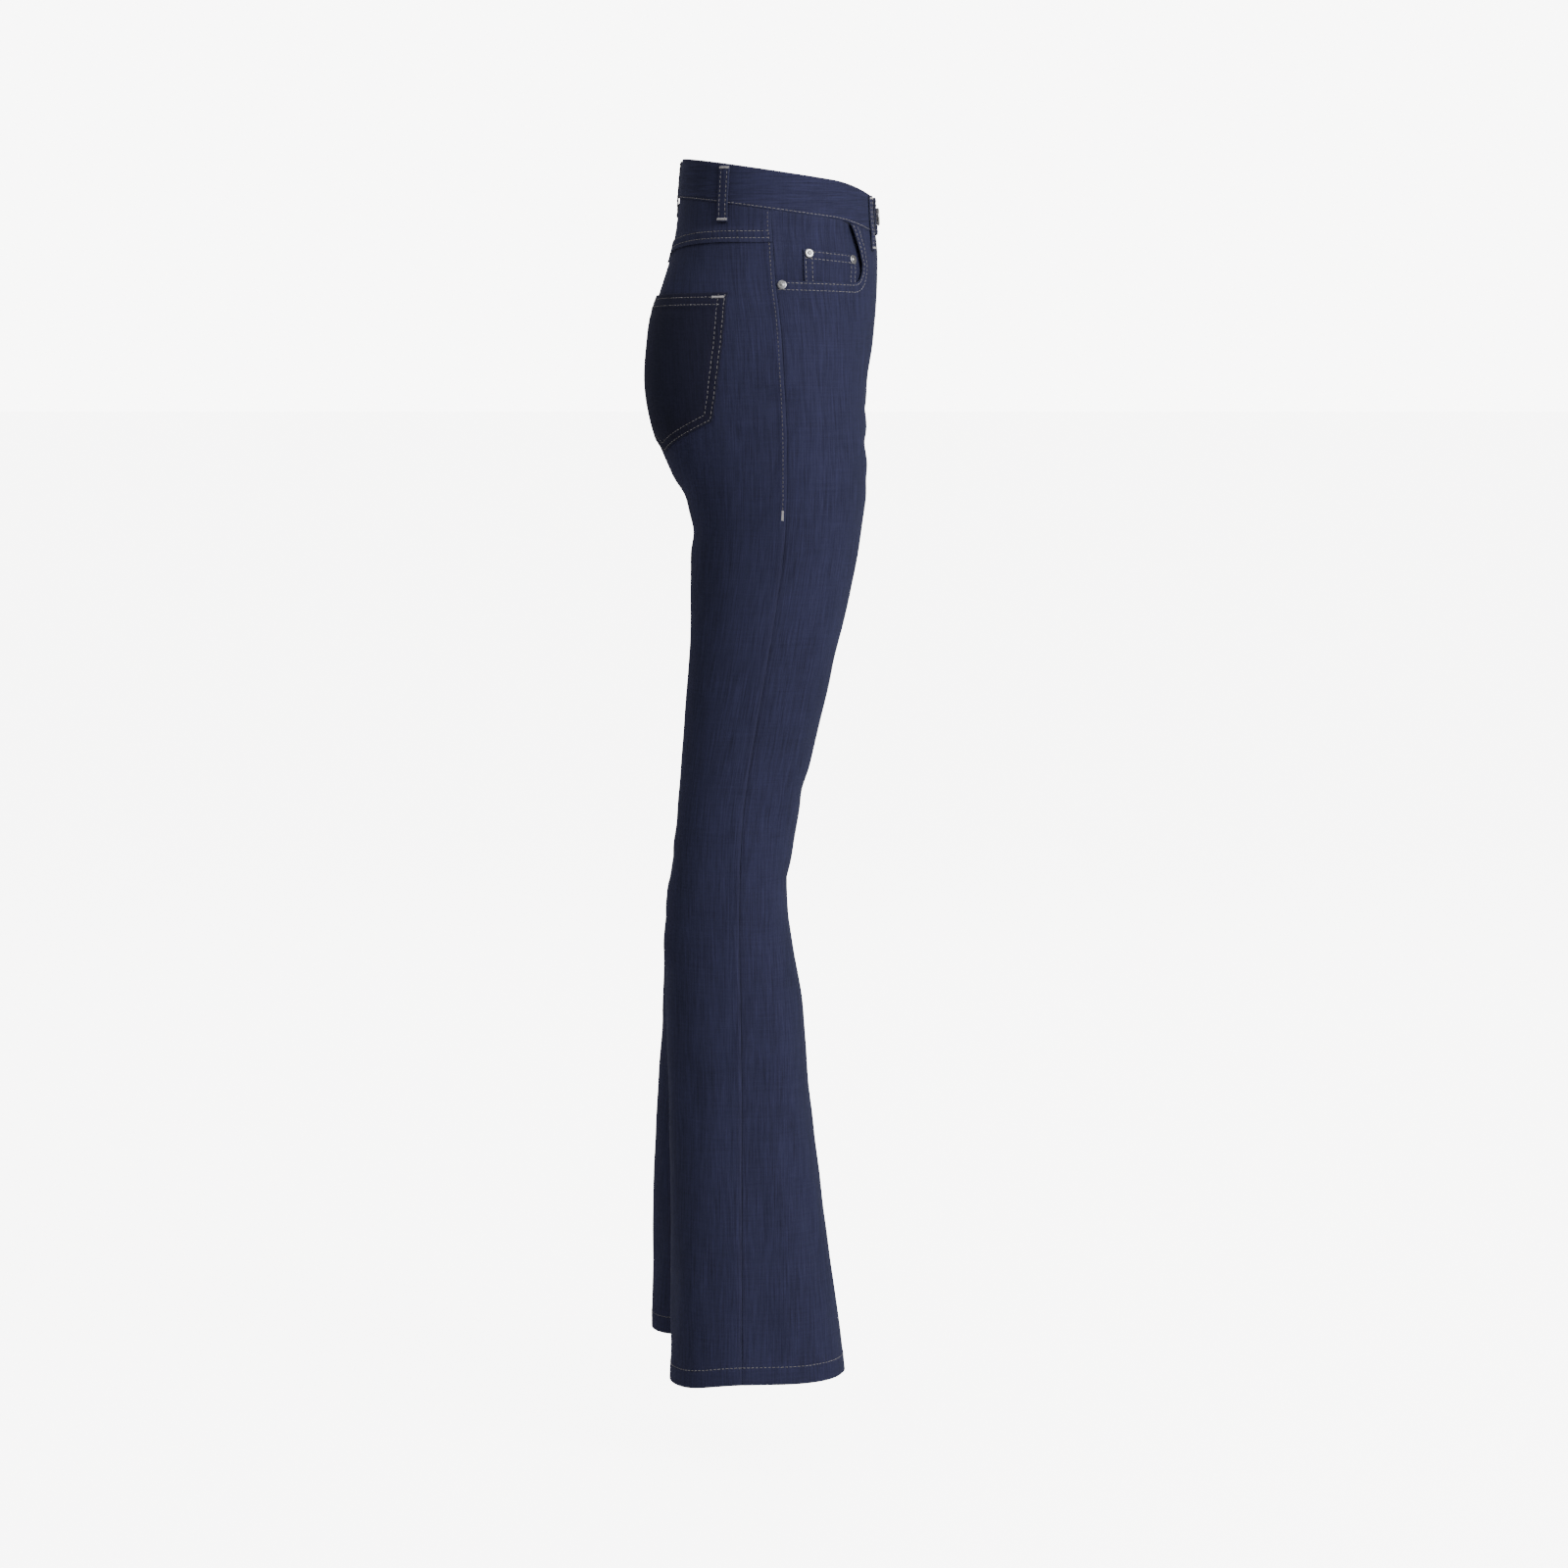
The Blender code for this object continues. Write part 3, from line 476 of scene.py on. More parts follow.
def line_at(distance, z):
    """The line at a distance along the cloth from centre back."""
    total = run_to(4, z)
    line = read(LINES_BACK, z, distance / total * 2 * LINE_PLACES)
    before = distance / run_to(1, z)
    past = 4 + (distance - total) / (total - run_to(3, z))
    return np.where(distance < 0, before, np.where(distance > total, past, line))


def from_side(distance, z):
    return line_at(distance_at(2.0, z) + distance, z)


def from_front(distance, z):
    return line_at(distance_at(4.0, z) - distance, z)


def across_side(line, z):
    """Distance along the cloth from the side seam, forwards positive."""
    return distance_at(line, z) - distance_at(2.0, z)


# ---------------------------------------------------------------- seam lines

def waist_depth(line):
    return hull(RIGHT, line, WAIST_LEVEL)[..., 1]


def waist_seam(line):
    dip = np.maximum(WAIST_DIP_FROM - waist_depth(line), 0)
    return WAIST_SEAM + WAIST_TILT * waist_depth(line) - WAIST_DIP * dip * dip


def band_height(line):
    return mix(BAND_FRONT, BAND_BACK, (waist_depth(line) + BAND_DEPTH) / (2 * BAND_DEPTH))


def yoke_seam(line):
    distance = np.abs(distance_at(np.clip(line, 0, 2), YOKE_SIDE))
    return YOKE_SIDE - YOKE_DIP * (1 - np.sin(np.clip(distance / YOKE_RUN, 0, 1) * math.pi / 2))


def hem_height(line):
    cut = section(np.array(HEM))
    depth = hull(RIGHT, line, HEM)[..., 1]
    return HEM - HEM_DROP * smooth((depth - cut.side) / (cut.back - cut.side))


def scoop_edge(share):
    """Pocket edge from the side seam (0) to the waist seam (1): distance and height."""
    run = np.clip(share / SCOOP_STRAIGHT, 0, 1)
    turn = np.clip((share - SCOOP_STRAIGHT) / (SCOOP_TURN - SCOOP_STRAIGHT), 0, 1) * math.pi / 2
    climb = np.clip((share - SCOOP_TURN) / (1 - SCOOP_TURN), 0, 1)
    distance = SCOOP_RUN * run + SCOOP_CORNER * np.sin(turn) + SCOOP_LEAN * climb
    height = SCOOP_TOP - SCOOP_FALL * run + SCOOP_CORNER * (1 - np.cos(turn))
    return distance, mix(height, waist_seam(from_side(distance, height)), climb)


def mouth(across, z):
    """Distance inside the scoop's mouth from its edge; negative on the front panel."""
    corner_z = SCOOP_TOP - SCOOP_FALL + SCOOP_CORNER
    climb = np.clip((z - corner_z) / (WAIST_SEAM - corner_z), 0, 1)
    upright = SCOOP_RUN + SCOOP_CORNER + SCOOP_LEAN * climb - across
    level = z - (SCOOP_TOP - SCOOP_FALL * np.clip(across / SCOOP_RUN, 0, 1))
    bend = SCOOP_CORNER * (1 - 0.5 * math.sqrt(2))
    both = np.minimum(upright, level)
    near = np.exp(-((upright - level) / SCOOP_CORNER) ** 2)
    return both - bend * near * smooth((SCOOP_CORNER - both) / SCOOP_CORNER)


# ---------------------------------------------------------------- relief of the cloth

def crease_height(crease, across, z):
    """Height of the cloth round one crease: a trough with a lesser ridge beside it."""
    run, rise = (crease.end - crease.start) * MM, (crease.to_z - crease.from_z) * MM
    length = math.hypot(run, rise)
    dx, dz = across - crease.start * MM, z - crease.from_z * MM
    along = (dx * run + dz * rise) / length ** 2
    inside = np.clip(along, 0, 1)
    aside = (dz * run - dx * rise) / length - crease.bow * MM * 4 * inside * (1 - inside)
    width = crease.width * CREASE_SPREAD * MM
    taper = np.sin(math.pi * inside ** 0.8) ** 0.8
    trough = np.exp(-(aside / width) ** 2)
    ridge = np.exp(-((aside / width - 1.8) / 1.2) ** 2)
    return crease.depth * CREASE_DEPTH * taper * (CREASE_RIDGE * ridge - trough)


def relief(side, line, z):
    """How far the cloth lies off the plain form: creases and slow unevenness."""
    side, line, z = as_arrays(side, line, z)
    across = across_side(line, z)
    height = np.zeros(line.shape)
    for swell in SWELLS:
        turn = across / swell.across + z / swell.along
        height = height + swell.height * MM * np.sin(math.tau * turn / MM + swell.phase + side)
    for own_side, creases in CREASES.items():
        for crease in creases:
            height = height + crease_height(Crease(*crease), across, z) * (side == own_side)
    seams = smooth(line / CALM_LINES) * smooth((4 - line) / CALM_LINES)
    waist = mix(1.0, WAIST_CALM, smooth((z - YOKE_LEVEL) / (60 * MM)))
    return height * seams * waist


def band(distance, width, rise, soft=1.5 * MM):
    """A raised band beside an edge."""
    return rise * smooth((width + soft - distance) / soft)


def sewn(distance, along, rows):
    """Grooves under rows of stitching, and the puckers beside them."""
    height = 0.0
    for row in rows:
        near = distance - row
        ripple = np.sin(along * math.tau / PUCKER + row / MM)
        ripple = ripple * (0.6 + 0.4 * np.sin(along * math.tau / (3.7 * PUCKER) + row / MM))
        height = height - GROOVE * np.exp(-(near / GROOVE_HALF) ** 2)
        height = height + PUCKER_RISE * ripple * np.exp(-(near / PUCKER_REACH) ** 2)
    return height


def seam_dip(distance, along):
    """A plain seam: the cloth rolls down into it."""
    return sewn(distance, along, [0.0]) * 0.6 - SEAM_DIP * np.exp(-(distance / SEAM_ROLL) ** 2)


def side_ridge(line, z):
    """The back's edge beside the side seam, over the turnings, down to the bar tack."""
    behind = -across_side(line, z)
    upper = smooth((z - SIDE_TACK_END) / RIDGE_FADE)
    plain = seam_dip(behind, z) * (1 - upper)
    ridge = band(behind, RIDGE, RIDGE_RISE) * smooth(behind / EDGE_RUN)
    return (ridge + sewn(behind, z, [SIDE_ROW])) * upper + plain


def hem_lift(line, z):
    above = z - hem_height(line)
    return band(above, HEM_ROW + 0.8 * MM, HEM_RISE) + sewn(above, distance_at(line, z), [HEM_ROW])


def over_crotch(z):
    return smooth((z - CROTCH - 6 * MM) / (22 * MM))


def lap_over_crotch(z):
    return smooth((z - CROTCH - 4 * MM) / (8 * MM))


def felled(distance, along):
    """A felled seam: double cloth with two rows, beside the edge that laps over."""
    return band(distance, FELL, FELL_RISE, FELL_SOFT) + sewn(distance, along, ROWS)


def seat_lift(side, line, z):
    """The left half laps over the right one at the seat seam."""
    return felled(distance_at(line, z), z) * over_crotch(z) if side > 0 else 0.0


def back_lift(side, line, z):
    return side_ridge(line, z) + hem_lift(line, z) + seat_lift(side, line, z)


def below_waist(line, z):
    """Raised seams flatten where they run into the waistband."""
    return smooth((waist_seam(line) + 1 * MM - z) / (6 * MM))


def yoke_lift(side, line, z):
    above = z - yoke_seam(line)
    lower = band(above, FELL, FELL_RISE) + sewn(above, distance_at(line, z), ROWS)
    upright = side_ridge(line, z) + seat_lift(side, line, z)
    return lower + upright * below_waist(line, z)


def fly_lap(z):
    """How far the left front reaches over the right one."""
    reach = mix(FELL_LAP, FLY_LAP, smooth((z - FLY_END - FLY_RISE) / FLY_SPREAD))
    return reach * lap_over_crotch(z)


def fly_path(row):
    """Fly stitching at a distance from centre front, bending to the centre at its foot."""
    turn = np.linspace(0, 1, 60) * math.pi / 2
    top = np.linspace(waist_seam(4.0) - 1 * MM, FLY_END + FLY_TURN, 80)
    distance = np.concatenate([np.full(80, row), row * np.cos(turn)])
    foot = FLY_END + 4 * MM + (FLY_ROWS[0] - row)
    return distance, np.concatenate([top, mix(FLY_END + FLY_TURN, foot, np.sin(turn))])


def front_lift(side, line, z):
    across = across_side(line, z)
    from_centre = distance_at(4.0, z) - distance_at(line, z)
    inseam = band(from_centre, FELL, FELL_RISE, FELL_SOFT) * smooth(from_centre / EDGE_RUN)
    inseam = (inseam + sewn(from_centre, z, ROWS)) * smooth((INSEAM_TOP - z) / INSEAM_FADE)
    inside = mouth(across, z)
    edge = band(-inside, FELL, MOUTH_RISE) + sewn(-inside, across + z, ROWS)
    gape = band(-inside, 1 * MM, MOUTH_GAPE, MOUTH_GAPE_SOFT)
    gape = gape * smooth((z - SCOOP_TOP) / MOUTH_GAPE_RUN)
    seam = seam_dip(across, z) * smooth((SCOOP_TOP - z) / MOUTH_FOOT)
    edge = (edge + gape) * below_waist(line, z)
    lift = inseam + edge + seam + hem_lift(np.minimum(line, 4), z)
    if side > 0:
        fly = smooth((z - FLY_END) / FLY_RISE)
        lap = smooth((line - FLY_LAP_FROM) / FLY_LAP_RUN)
        fly_cloth = (DENIM + LAYER_GAP) * lap + sewn(from_centre, z, FLY_ROWS)
        lift = lift + fly_cloth * fly + felled(from_centre, z) * over_crotch(z) * (1 - fly)
    return lift


def pocket_rise(across, z):
    """The facing and coin pocket rise from under the front panel inside the mouth."""
    return POCKET_RISE * smooth(mouth(across, z) / POCKET_RISE_RUN)


def facing_lift(side, line, z):
    across = across_side(line, z)
    to_seam = np.minimum(across, waist_seam(line) - z)
    seam_rise = FACING_RISE * smooth(mouth(across, z) / FACING_RISE_RUN)
    seam_rise = seam_rise * smooth(1 - to_seam / FACING_SEAM)
    return -(DENIM + LIGHT_DENIM + 2 * LAYER_GAP) + pocket_rise(across, z) + seam_rise


def coin_top(across):
    """Height of the coin pocket's upper edge."""
    share = (across - COIN_OUTER) / (COIN_INNER - COIN_OUTER)
    return mix(COIN_TOP_OUTER, COIN_TOP_INNER, share)


def coin_lift(side, line, z):
    across = across_side(line, z)
    below_top = coin_top(across) - z
    rows = sewn(below_top, across, ROWS) + band(below_top, FELL, COIN_HEM_RISE)
    edges = sewn(np.minimum(across - COIN_OUTER, COIN_INNER - across), z, ROWS)
    return -(DENIM + LAYER_GAP) + pocket_rise(across, z) + rows + edges


def band_foot(line):
    return waist_seam(line) + BAND_GAP - SEAM_GAP / 2


def band_lift(side, line, z):
    """Outer face of the waistband."""
    nearest = np.minimum(line, 8 - line)
    height = z - band_foot(nearest)
    share = np.clip(height / band_height(nearest), 0, 1)
    lapped = smooth((side * line - BAND_LAP_FROM) / BAND_LAP_RUN)
    crown = BAND_CROWN * np.sin(share * math.pi)
    return (BAND_PROUD + (BAND_WALL + BAND_LAP_GAP) * lapped + crown
            + sewn(height, distance_at(line, z), [BAND_ROW]))


# ---------------------------------------------------------------- materials

class Value:
    """A number in a material. Sums and products of values become its Math nodes."""

    def __init__(self, finish, socket):
        self.finish = finish
        self.socket = socket

    def math(self, operation, first, second=0.0):
        return self.finish.node("ShaderNodeMath", {"operation": operation}, {0: first, 1: second})

    def __add__(self, other):
        return self.math("ADD", self, other)

    def __sub__(self, other):
        return self.math("SUBTRACT", self, other)

    def __rsub__(self, other):
        return self.math("SUBTRACT", other, self)

    def __mul__(self, other):
        return self.math("MULTIPLY", self, other)

    def __truediv__(self, other):
        return self.math("DIVIDE", self, other)

    def __pow__(self, other):
        return self.math("POWER", self, other)

    def wave(self, pitch):
        """A wave from -1 to 1 whose length is pitch."""
        return self.math("SINE", self * (math.tau / pitch))

    def ribs(self, pitch):
        """The same from 0 to 1."""
        return self.wave(pitch) * 0.5 + 0.5

    def clamped(self):
        return self.math("MINIMUM", self.math("MAXIMUM", self, 0.0), 1.0)

    __radd__ = __add__
    __rmul__ = __mul__


class Finish:
    """A material, or the sky. Nodes come from node(), and numbers from sums of values."""

    def __init__(self, name, constants, store=bpy.data.materials, shader="Principled BSDF"):
        self.name = name
        self.data = store.new(name)
        self.data.use_nodes = True
        self.tree = self.data.node_tree
        self.shader = self.tree.nodes[shader]
        for socket, constant in constants.items():
            self.shader.inputs[socket].default_value = constant

    def node(self, kind, settings, sockets, output=0):
        """Adds a node: its type, its settings, and the values or links of its sockets."""
        made = self.tree.nodes.new(kind)
        for setting, choice in settings.items():
            setattr(made, setting, choice)
        for socket, value in sockets.items():
            if isinstance(value, Value):
                self.tree.links.new(value.socket, made.inputs[socket])
            else:
                made.inputs[socket].default_value = value
        return Value(self, made.outputs[output])

    def feed(self, socket, value):
        self.tree.links.new(value.socket, self.shader.inputs[socket])

    def read_cloth(self):
        """Distance across and height along the cloth, in millimetres."""
        place = self.node("ShaderNodeUVMap", {"uv_map": "cloth"}, {})
        self.across, self.along = [self.node("ShaderNodeSeparateXYZ", {}, {0: place}, axis)
                                   / MM for axis in "XY"]

    def grain(self, across, along, seed, detail):
        """Noise from 0 to 1 with grains of this size across and along the cloth."""
        place = self.node("ShaderNodeCombineXYZ", {},
                          {0: self.across / across, 1: self.along / along, 2: seed})
        return self.noise(place, 1.0, detail)

    def noise(self, place, scale, detail):
        return self.node("ShaderNodeTexNoise", {},
                         {"Vector": place, "Scale": scale, "Detail": detail})

    def attribute(self, name):
        return self.node("ShaderNodeAttribute", {"attribute_name": name}, {}, "Fac")

    def camera_ray(self):
        return self.node("ShaderNodeLightPath", {}, {}, "Is Camera Ray")

    def blend(self, share, first, second):
        """A colour between two colours."""
        return self.node("ShaderNodeMix", {"data_type": "RGBA"}, {0: share, 6: first, 7: second}, 2)

    def relief(self, height, depth):
        self.feed("Normal", self.node("ShaderNodeBump", {}, {
            "Height": height, "Strength": 1.0, "Distance": depth}))


def shade(red, green, blue):
    return (red, green, blue, 1.0)


TWILL_PITCH = 0.85          # millimetres between two twill lines, across the cloth
TWILL_STEEP = 0.55          # a twill line's run across for each unit along

# Sizes of the denim's grains across and along it in millimetres, with a seed and a detail
Grain = namedtuple("Grain", "across along seed detail")
GRAINS = [Grain(0.7, 22, 1.7, 1.0), Grain(1.3, 60, 5.1, 2.0), Grain(30, 0.9, 9.4, 1.0),
          Grain(0.45, 0.6, 3.3, 1.0), Grain(60, 110, 7.9, 3.0)]


def make_denim(name, dark, light, weft, inner):
    """Twill: dark warp with slubs along it, pale weft between, paler on the inner face."""
    denim = Finish(name, {"Roughness": 0.85, "Sheen Weight": 0.05, "Sheen Roughness": 0.5,
                          "Sheen Tint": shade(0.45, 0.52, 0.90), "Specular IOR Level": 0.12})
    denim.read_cloth()
    thread, slub, cross, speck, cloud = [denim.grain(*grain) for grain in GRAINS]
    rib = (denim.across - denim.along * TWILL_STEEP).ribs(TWILL_PITCH)
    tone = (0.42 + (thread - 0.5) * 0.9 + (slub - 0.5) * 0.75 + (cross - 0.5) * 0.3
            + (cloud - 0.5) * 0.45 + (rib - 0.5) * 0.16).clamped()
    warp = denim.blend(tone, dark, light)
    fleck = ((1.0 - rib) ** 3.0 * (speck * 1.6) * 0.16).clamped()
    # Edges lighten towards the weft: partly wear, partly a painted highlight along raised edges
    worn_and_lit = (denim.attribute("edge_wear_and_highlight") * (0.25 + slub) * 0.05).clamped()
    outer = denim.blend(worn_and_lit, denim.blend(fleck, warp, weft), weft)
    inner_tone = (0.5 + (rib - 0.5) * 0.5 + (speck - 0.5) * 0.8 + (slub - 0.5) * 0.4).clamped()
    inside = (denim.attribute("inside") * 6.0 - 5.0).clamped()
    denim.feed("Base Color", denim.blend(inside, outer, denim.blend(inner_tone, warp, inner)))
    denim.feed("Roughness", 0.78 + speck * 0.16)
    denim.relief(rib * 0.5 + thread * 0.5 + slub * 0.25 + speck * 0.3, 0.08 * MM)
    return denim


def make_thread():
    """Thick polyester thread, two plies twisted."""
    thread = Finish("topstitch_thread", {"Roughness": 0.5, "Sheen Weight": 0.3,
                                         "Specular IOR Level": 0.4})
    thread.read_cloth()
    ply = (thread.along + thread.across * 1.6).ribs(0.8)
    fleck = thread.grain(0.3, 1.4, 2.2, 2.0)
    tone = (ply * 0.5 + fleck * 0.6).clamped()
    # The thread is painted from shade, for thread sunk in a seam, to a highlight on close-laid bar
    # tacks, by how pale each stitch is set
    painted_shade_colour = thread.blend(tone, shade(0.050, 0.045, 0.052), shade(0.145, 0.132, 0.145))
    close = thread.blend(tone, shade(0.28, 0.265, 0.275), shade(0.55, 0.53, 0.54))
    thread.feed("Base Color", thread.blend(thread.attribute("pale"), painted_shade_colour, close))
    thread.feed("Roughness", 0.42 + fleck * 0.25)
    thread.relief(ply, 0.08 * MM)
    return thread


def make_tape():
    """Navy herringbone tape of the zip."""
    tape = Finish("zip_tape", {"Roughness": 0.8, "Sheen Weight": 0.2})
    tape.read_cloth()
    herring = (tape.along + tape.across.wave(5.0) * 0.7).ribs(1.1)
    grain = tape.grain(0.5, 0.8, 4.4, 2.0)
    tone = (herring * 0.6 + grain * 0.5).clamped()
    tape.feed("Base Color", tape.blend(tone, shade(0.008, 0.009, 0.02), shade(0.03, 0.034, 0.06)))
    tape.feed("Roughness", 0.7 + grain * 0.2)
    tape.relief(herring, 0.1 * MM)
    return tape


def make_nickel():
    """Brushed nickel with dull hollows."""
    nickel = Finish("brushed_nickel", {"Metallic": 1.0, "Specular IOR Level": 0.5})
    place = nickel.node("ShaderNodeTexCoord", {}, {}, "Object")
    brush = nickel.noise(place, 2600.0, 3.0)
    cloud = nickel.noise(place, 420.0, 2.0)
    tone = (brush * 0.5 + cloud * 0.6).clamped()
    colour = nickel.blend(tone, shade(0.26, 0.26, 0.265), shade(0.46, 0.46, 0.47))
    nickel.feed("Base Color", colour)
    nickel.feed("Roughness", 0.24 + brush * 0.26)
    nickel.relief(brush + cloud, 0.03 * MM)
    return nickel


INDIGO = make_denim("indigo_denim", shade(0.0085, 0.0086, 0.0245), shade(0.033, 0.0342, 0.089),
                    shade(0.13, 0.14, 0.19), shade(0.15, 0.16, 0.20))
# The back pockets' denim: the same twill made darker, painted shade of the back
SHADED_INDIGO = make_denim("deep_indigo_denim", shade(0.0052, 0.0052, 0.013),
                         shade(0.0165, 0.0158, 0.041), shade(0.08, 0.085, 0.12),
                         shade(0.11, 0.12, 0.15))
THREAD = make_thread()
TAPE = make_tape()
NICKEL = make_nickel()


# ---------------------------------------------------------------- making pieces

def make_piece(name, points, faces, finish, places=None, values=None):
    """One mesh piece that rides with the jeans."""
    mesh = bpy.data.meshes.new(name)
    mesh.from_pydata(points.tolist(), [], faces)
    mesh.shade_smooth()
    if places is not None:
        layer = mesh.uv_layers.new(name="cloth")
        corners = np.empty(len(mesh.loops), dtype=np.int32)
        mesh.loops.foreach_get("vertex_index", corners)
        layer.data.foreach_set("uv", places[corners].astype(np.float32).ravel())
    for attribute_name, numbers in (values or {}).items():
        attribute = mesh.attributes.new(attribute_name, "FLOAT", "POINT")
        attribute.data.foreach_set("value", numbers.astype(np.float32))
    mesh.materials.append(finish.data)
    piece = bpy.data.objects.new(name, mesh)
    bpy.context.scene.collection.objects.link(piece)
    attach(piece, "root")
    return piece


def side_name(side):
    return "right" if side < 0 else "left"


EDGE_STEPS = np.array([0.0, 0.12, 0.3, 0.6, 1.1, 2.0]) * MM
MARK_STEPS = np.array([-1.3, -0.6, 0.0, 0.6, 1.3]) * MM


def shares(length, cell=CELL, marks=(), far_marks=(), low=True, high=True):
    """Shares of the way along a piece: even steps, closer at its edges and stitch rows."""
    marks = [*marks, *[length - mark for mark in far_marks]]
    special = [np.array([0.0, length])]
    if low:
        special.append(EDGE_STEPS)
    if high:
        special.append(length - EDGE_STEPS)
    special += [mark + MARK_STEPS for mark in marks]
    special = np.concatenate(special)
    even = np.linspace(0, length, int(round(length / cell)) + 1)
    clear = np.abs(even[:, None] - special[None]).min(axis=1) > 1.0 * MM
    places = np.unique(np.concatenate([even[clear], special]).clip(0, length))
    keep = np.insert(np.diff(places) > 0.08 * MM, 0, True)
    keep[-1] = True
    return places[keep] / length


def edge_distance(points, edges):
    """Distance of each point from the nearest of the named edges."""
    nearest = np.full(points.shape[:2], 1.0)
    for axis, (first, last) in enumerate((("bottom", "top"), ("back", "front"))):
        steps = np.linalg.norm(np.diff(points, axis=axis), axis=-1)
        run = np.insert(np.cumsum(steps, axis=axis), 0, 0, axis=axis)
        if first in edges:
            nearest = np.minimum(nearest, run)
        if last in edges:
            nearest = np.minimum(nearest, run.take([-1], axis=axis) - run)
    return nearest


def round_off(distance, radius):
    """How far a rounded edge has turned away at a distance from the edge."""
    share = np.clip(1 - distance / radius, 0, 1)
    return radius * (1 - np.sqrt(1 - share * share))


def grid_faces(rows, columns, flip):
    """Faces of a closed shell between an outer and an inner grid of points."""
    count = rows * columns
    index = np.arange(count).reshape(rows, columns)
    outer = np.stack([index[:-1, :-1], index[:-1, 1:], index[1:, 1:], index[1:, :-1]], -1)
    outer = outer.reshape(-1, 4)
    rim = np.concatenate([index[0], index[1:, -1], index[-1, -2::-1], index[-2:0:-1, 0]])
    after = np.roll(rim, -1)
    sides = np.stack([after, rim, rim + count, after + count], -1)
    faces = np.concatenate([outer, (outer + count)[:, ::-1], sides])
    return (faces[:, ::-1] if flip else faces).tolist()


EVERY_EDGE = ("bottom", "top", "back", "front")
EDGE_ROUND = 0.45           # radius of a cloth's edge, as a share of its wall
WEAR_AND_HIGHLIGHT_REACH = 1.6 * MM       # an edge is lightened over about this width: partly wear, partly a painted highlight


def raised(side, line, z, lift):
    """Points of the plain form, its normals, and the height of the cloth's face above it."""
    lift = lift(side, line, z) if callable(lift) else lift
    side, line, z, lift = np.broadcast_arrays(side, line, z, lift)
    height = lift + relief(side, np.clip(line, 0, 4), z)
    return hull(side, line, z), outward(side, line, z), height


def cloth(node, side, line, z, lift, wall=DENIM, finish=INDIGO, edges=EVERY_EDGE, flip=None,
          rests_on=(), weave_along=False):
    """A cloth piece: a closed shell of its wall, edges rounded."""
    form, normal, height = raised(side, line, z, lift)
    wall = np.broadcast_to(wall, height.shape)
    face = form + normal * height[..., None]
    from_edge = edge_distance(face, edges)
    turn = round_off(from_edge, EDGE_ROUND * wall)
    outer = form + normal * (height - turn)[..., None]
    inner = form + normal * (height - wall + turn)[..., None]
    places = np.stack(np.broadcast_arrays(across_side(line, z) + 3.0 * side, z), -1)
    places = (places[..., ::-1] if weave_along else places).reshape(-1, 2)
    # lighter edges: partly wear, partly a painted highlight
    worn_and_lit = np.exp(-from_edge / WEAR_AND_HIGHLIGHT_REACH).ravel()
    points = np.concatenate([outer.reshape(-1, 3), inner.reshape(-1, 3)])
    faces = grid_faces(*height.shape, side > 0 if flip is None else flip)
    piece = make_piece(node + "_cloth", points, faces, finish, np.concatenate([places, places]),
                       {"inside": np.repeat([0.0, 1.0], height.size),
                        "edge_wear_and_highlight": np.concatenate([worn_and_lit, worn_and_lit])})
    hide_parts(node)


# ---------------------------------------------------------------- legs, yokes, hems

BACK_WIDTH = 0.24           # rough widths and heights, which only set the number of cells
FRONT_WIDTH = 0.21
LEG_HEIGHT = 0.965
SCOOP_HEIGHT = 42 * MM
YOKE_HEIGHT = 35 * MM
YOKE_LAP = 2.0 * MM         # the yoke's folded edge laps this far over the back
YOKE_SEWN = 14 * MM         # the yoke's rows run level with its seam up to here
HEM_TO_YOKE = 1.035
HEM_ROUND = 0.47
NEAR_ROW = 0.003            # cells this share of the width beside the side seam's row


def hem_wall(line, z):
    """The wall thickens to a round fold at the very hem."""
    above = z - hem_height(np.clip(line, 0, 4))
    return DENIM + HEM_FOLD * smooth((HEM_FOLD_TOP - above) / HEM_FOLD_FADE)


def make_back_panel(side):
    column = shares(BACK_WIDTH, marks=ROWS if side > 0 else ())
    seam = 1 - SIDE_ROW / BACK_WIDTH
    column = np.unique(np.append(column, [seam, seam - NEAR_ROW, seam + NEAR_ROW]))[None]
    z = mix(hem_height(2 * column), yoke_seam(2 * column),
            shares(HEM_TO_YOKE, marks=[HEM_ROW])[:, None])
    start = line_at(-FELL_LAP * lap_over_crotch(z), z) if side > 0 else 0.0
    line = mix(start, 2.0, column)
    cloth("back_panel_" + side_name(side), side, line, z, back_lift, hem_wall(line, z))


def make_yoke(side):
    column = shares(BACK_WIDTH, marks=ROWS if side > 0 else ())[None]
    up = YOKE_HEIGHT * shares(YOKE_HEIGHT, 2.5 * MM, [YOKE_LAP + row for row in ROWS])[:, None]
    seam = yoke_seam(2 * column) - YOKE_LAP
    rest = waist_seam(2 * column) + BAND_GAP - seam - YOKE_SEWN
    spread = np.maximum(up - YOKE_SEWN, 0) / (YOKE_HEIGHT - YOKE_SEWN)
    z = seam + np.minimum(up, YOKE_SEWN) + rest * spread
    start = line_at(-FELL_LAP, z) if side > 0 else 0.0
    cloth("yoke_" + side_name(side), side, mix(start, 2.0, column), z, yoke_lift)


def front_top(side, share):
    """Top edge of the front: the pocket edge, then the waist seam to centre front."""
    distance, height = scoop_edge(np.minimum(share / SCOOP_COLUMNS, 1))
    scoop_line = from_side(distance, height)
    corner = from_side(SCOOP_RUN + SCOOP_CORNER + SCOOP_LEAN, waist_seam(SCOOP_LINE))
    end = from_front(-FLY_LAP if side > 0 else 0.0, waist_seam(4.0))
    waist_line = mix(corner, end, np.clip((share - SCOOP_COLUMNS) / (1 - SCOOP_COLUMNS), 0, 1))
    line = np.where(share <= SCOOP_COLUMNS, scoop_line, waist_line)
    top = waist_seam(np.minimum(line, 8 - line)) + BAND_GAP
    return line, np.where(share <= SCOOP_COLUMNS, np.minimum(height, top), top)


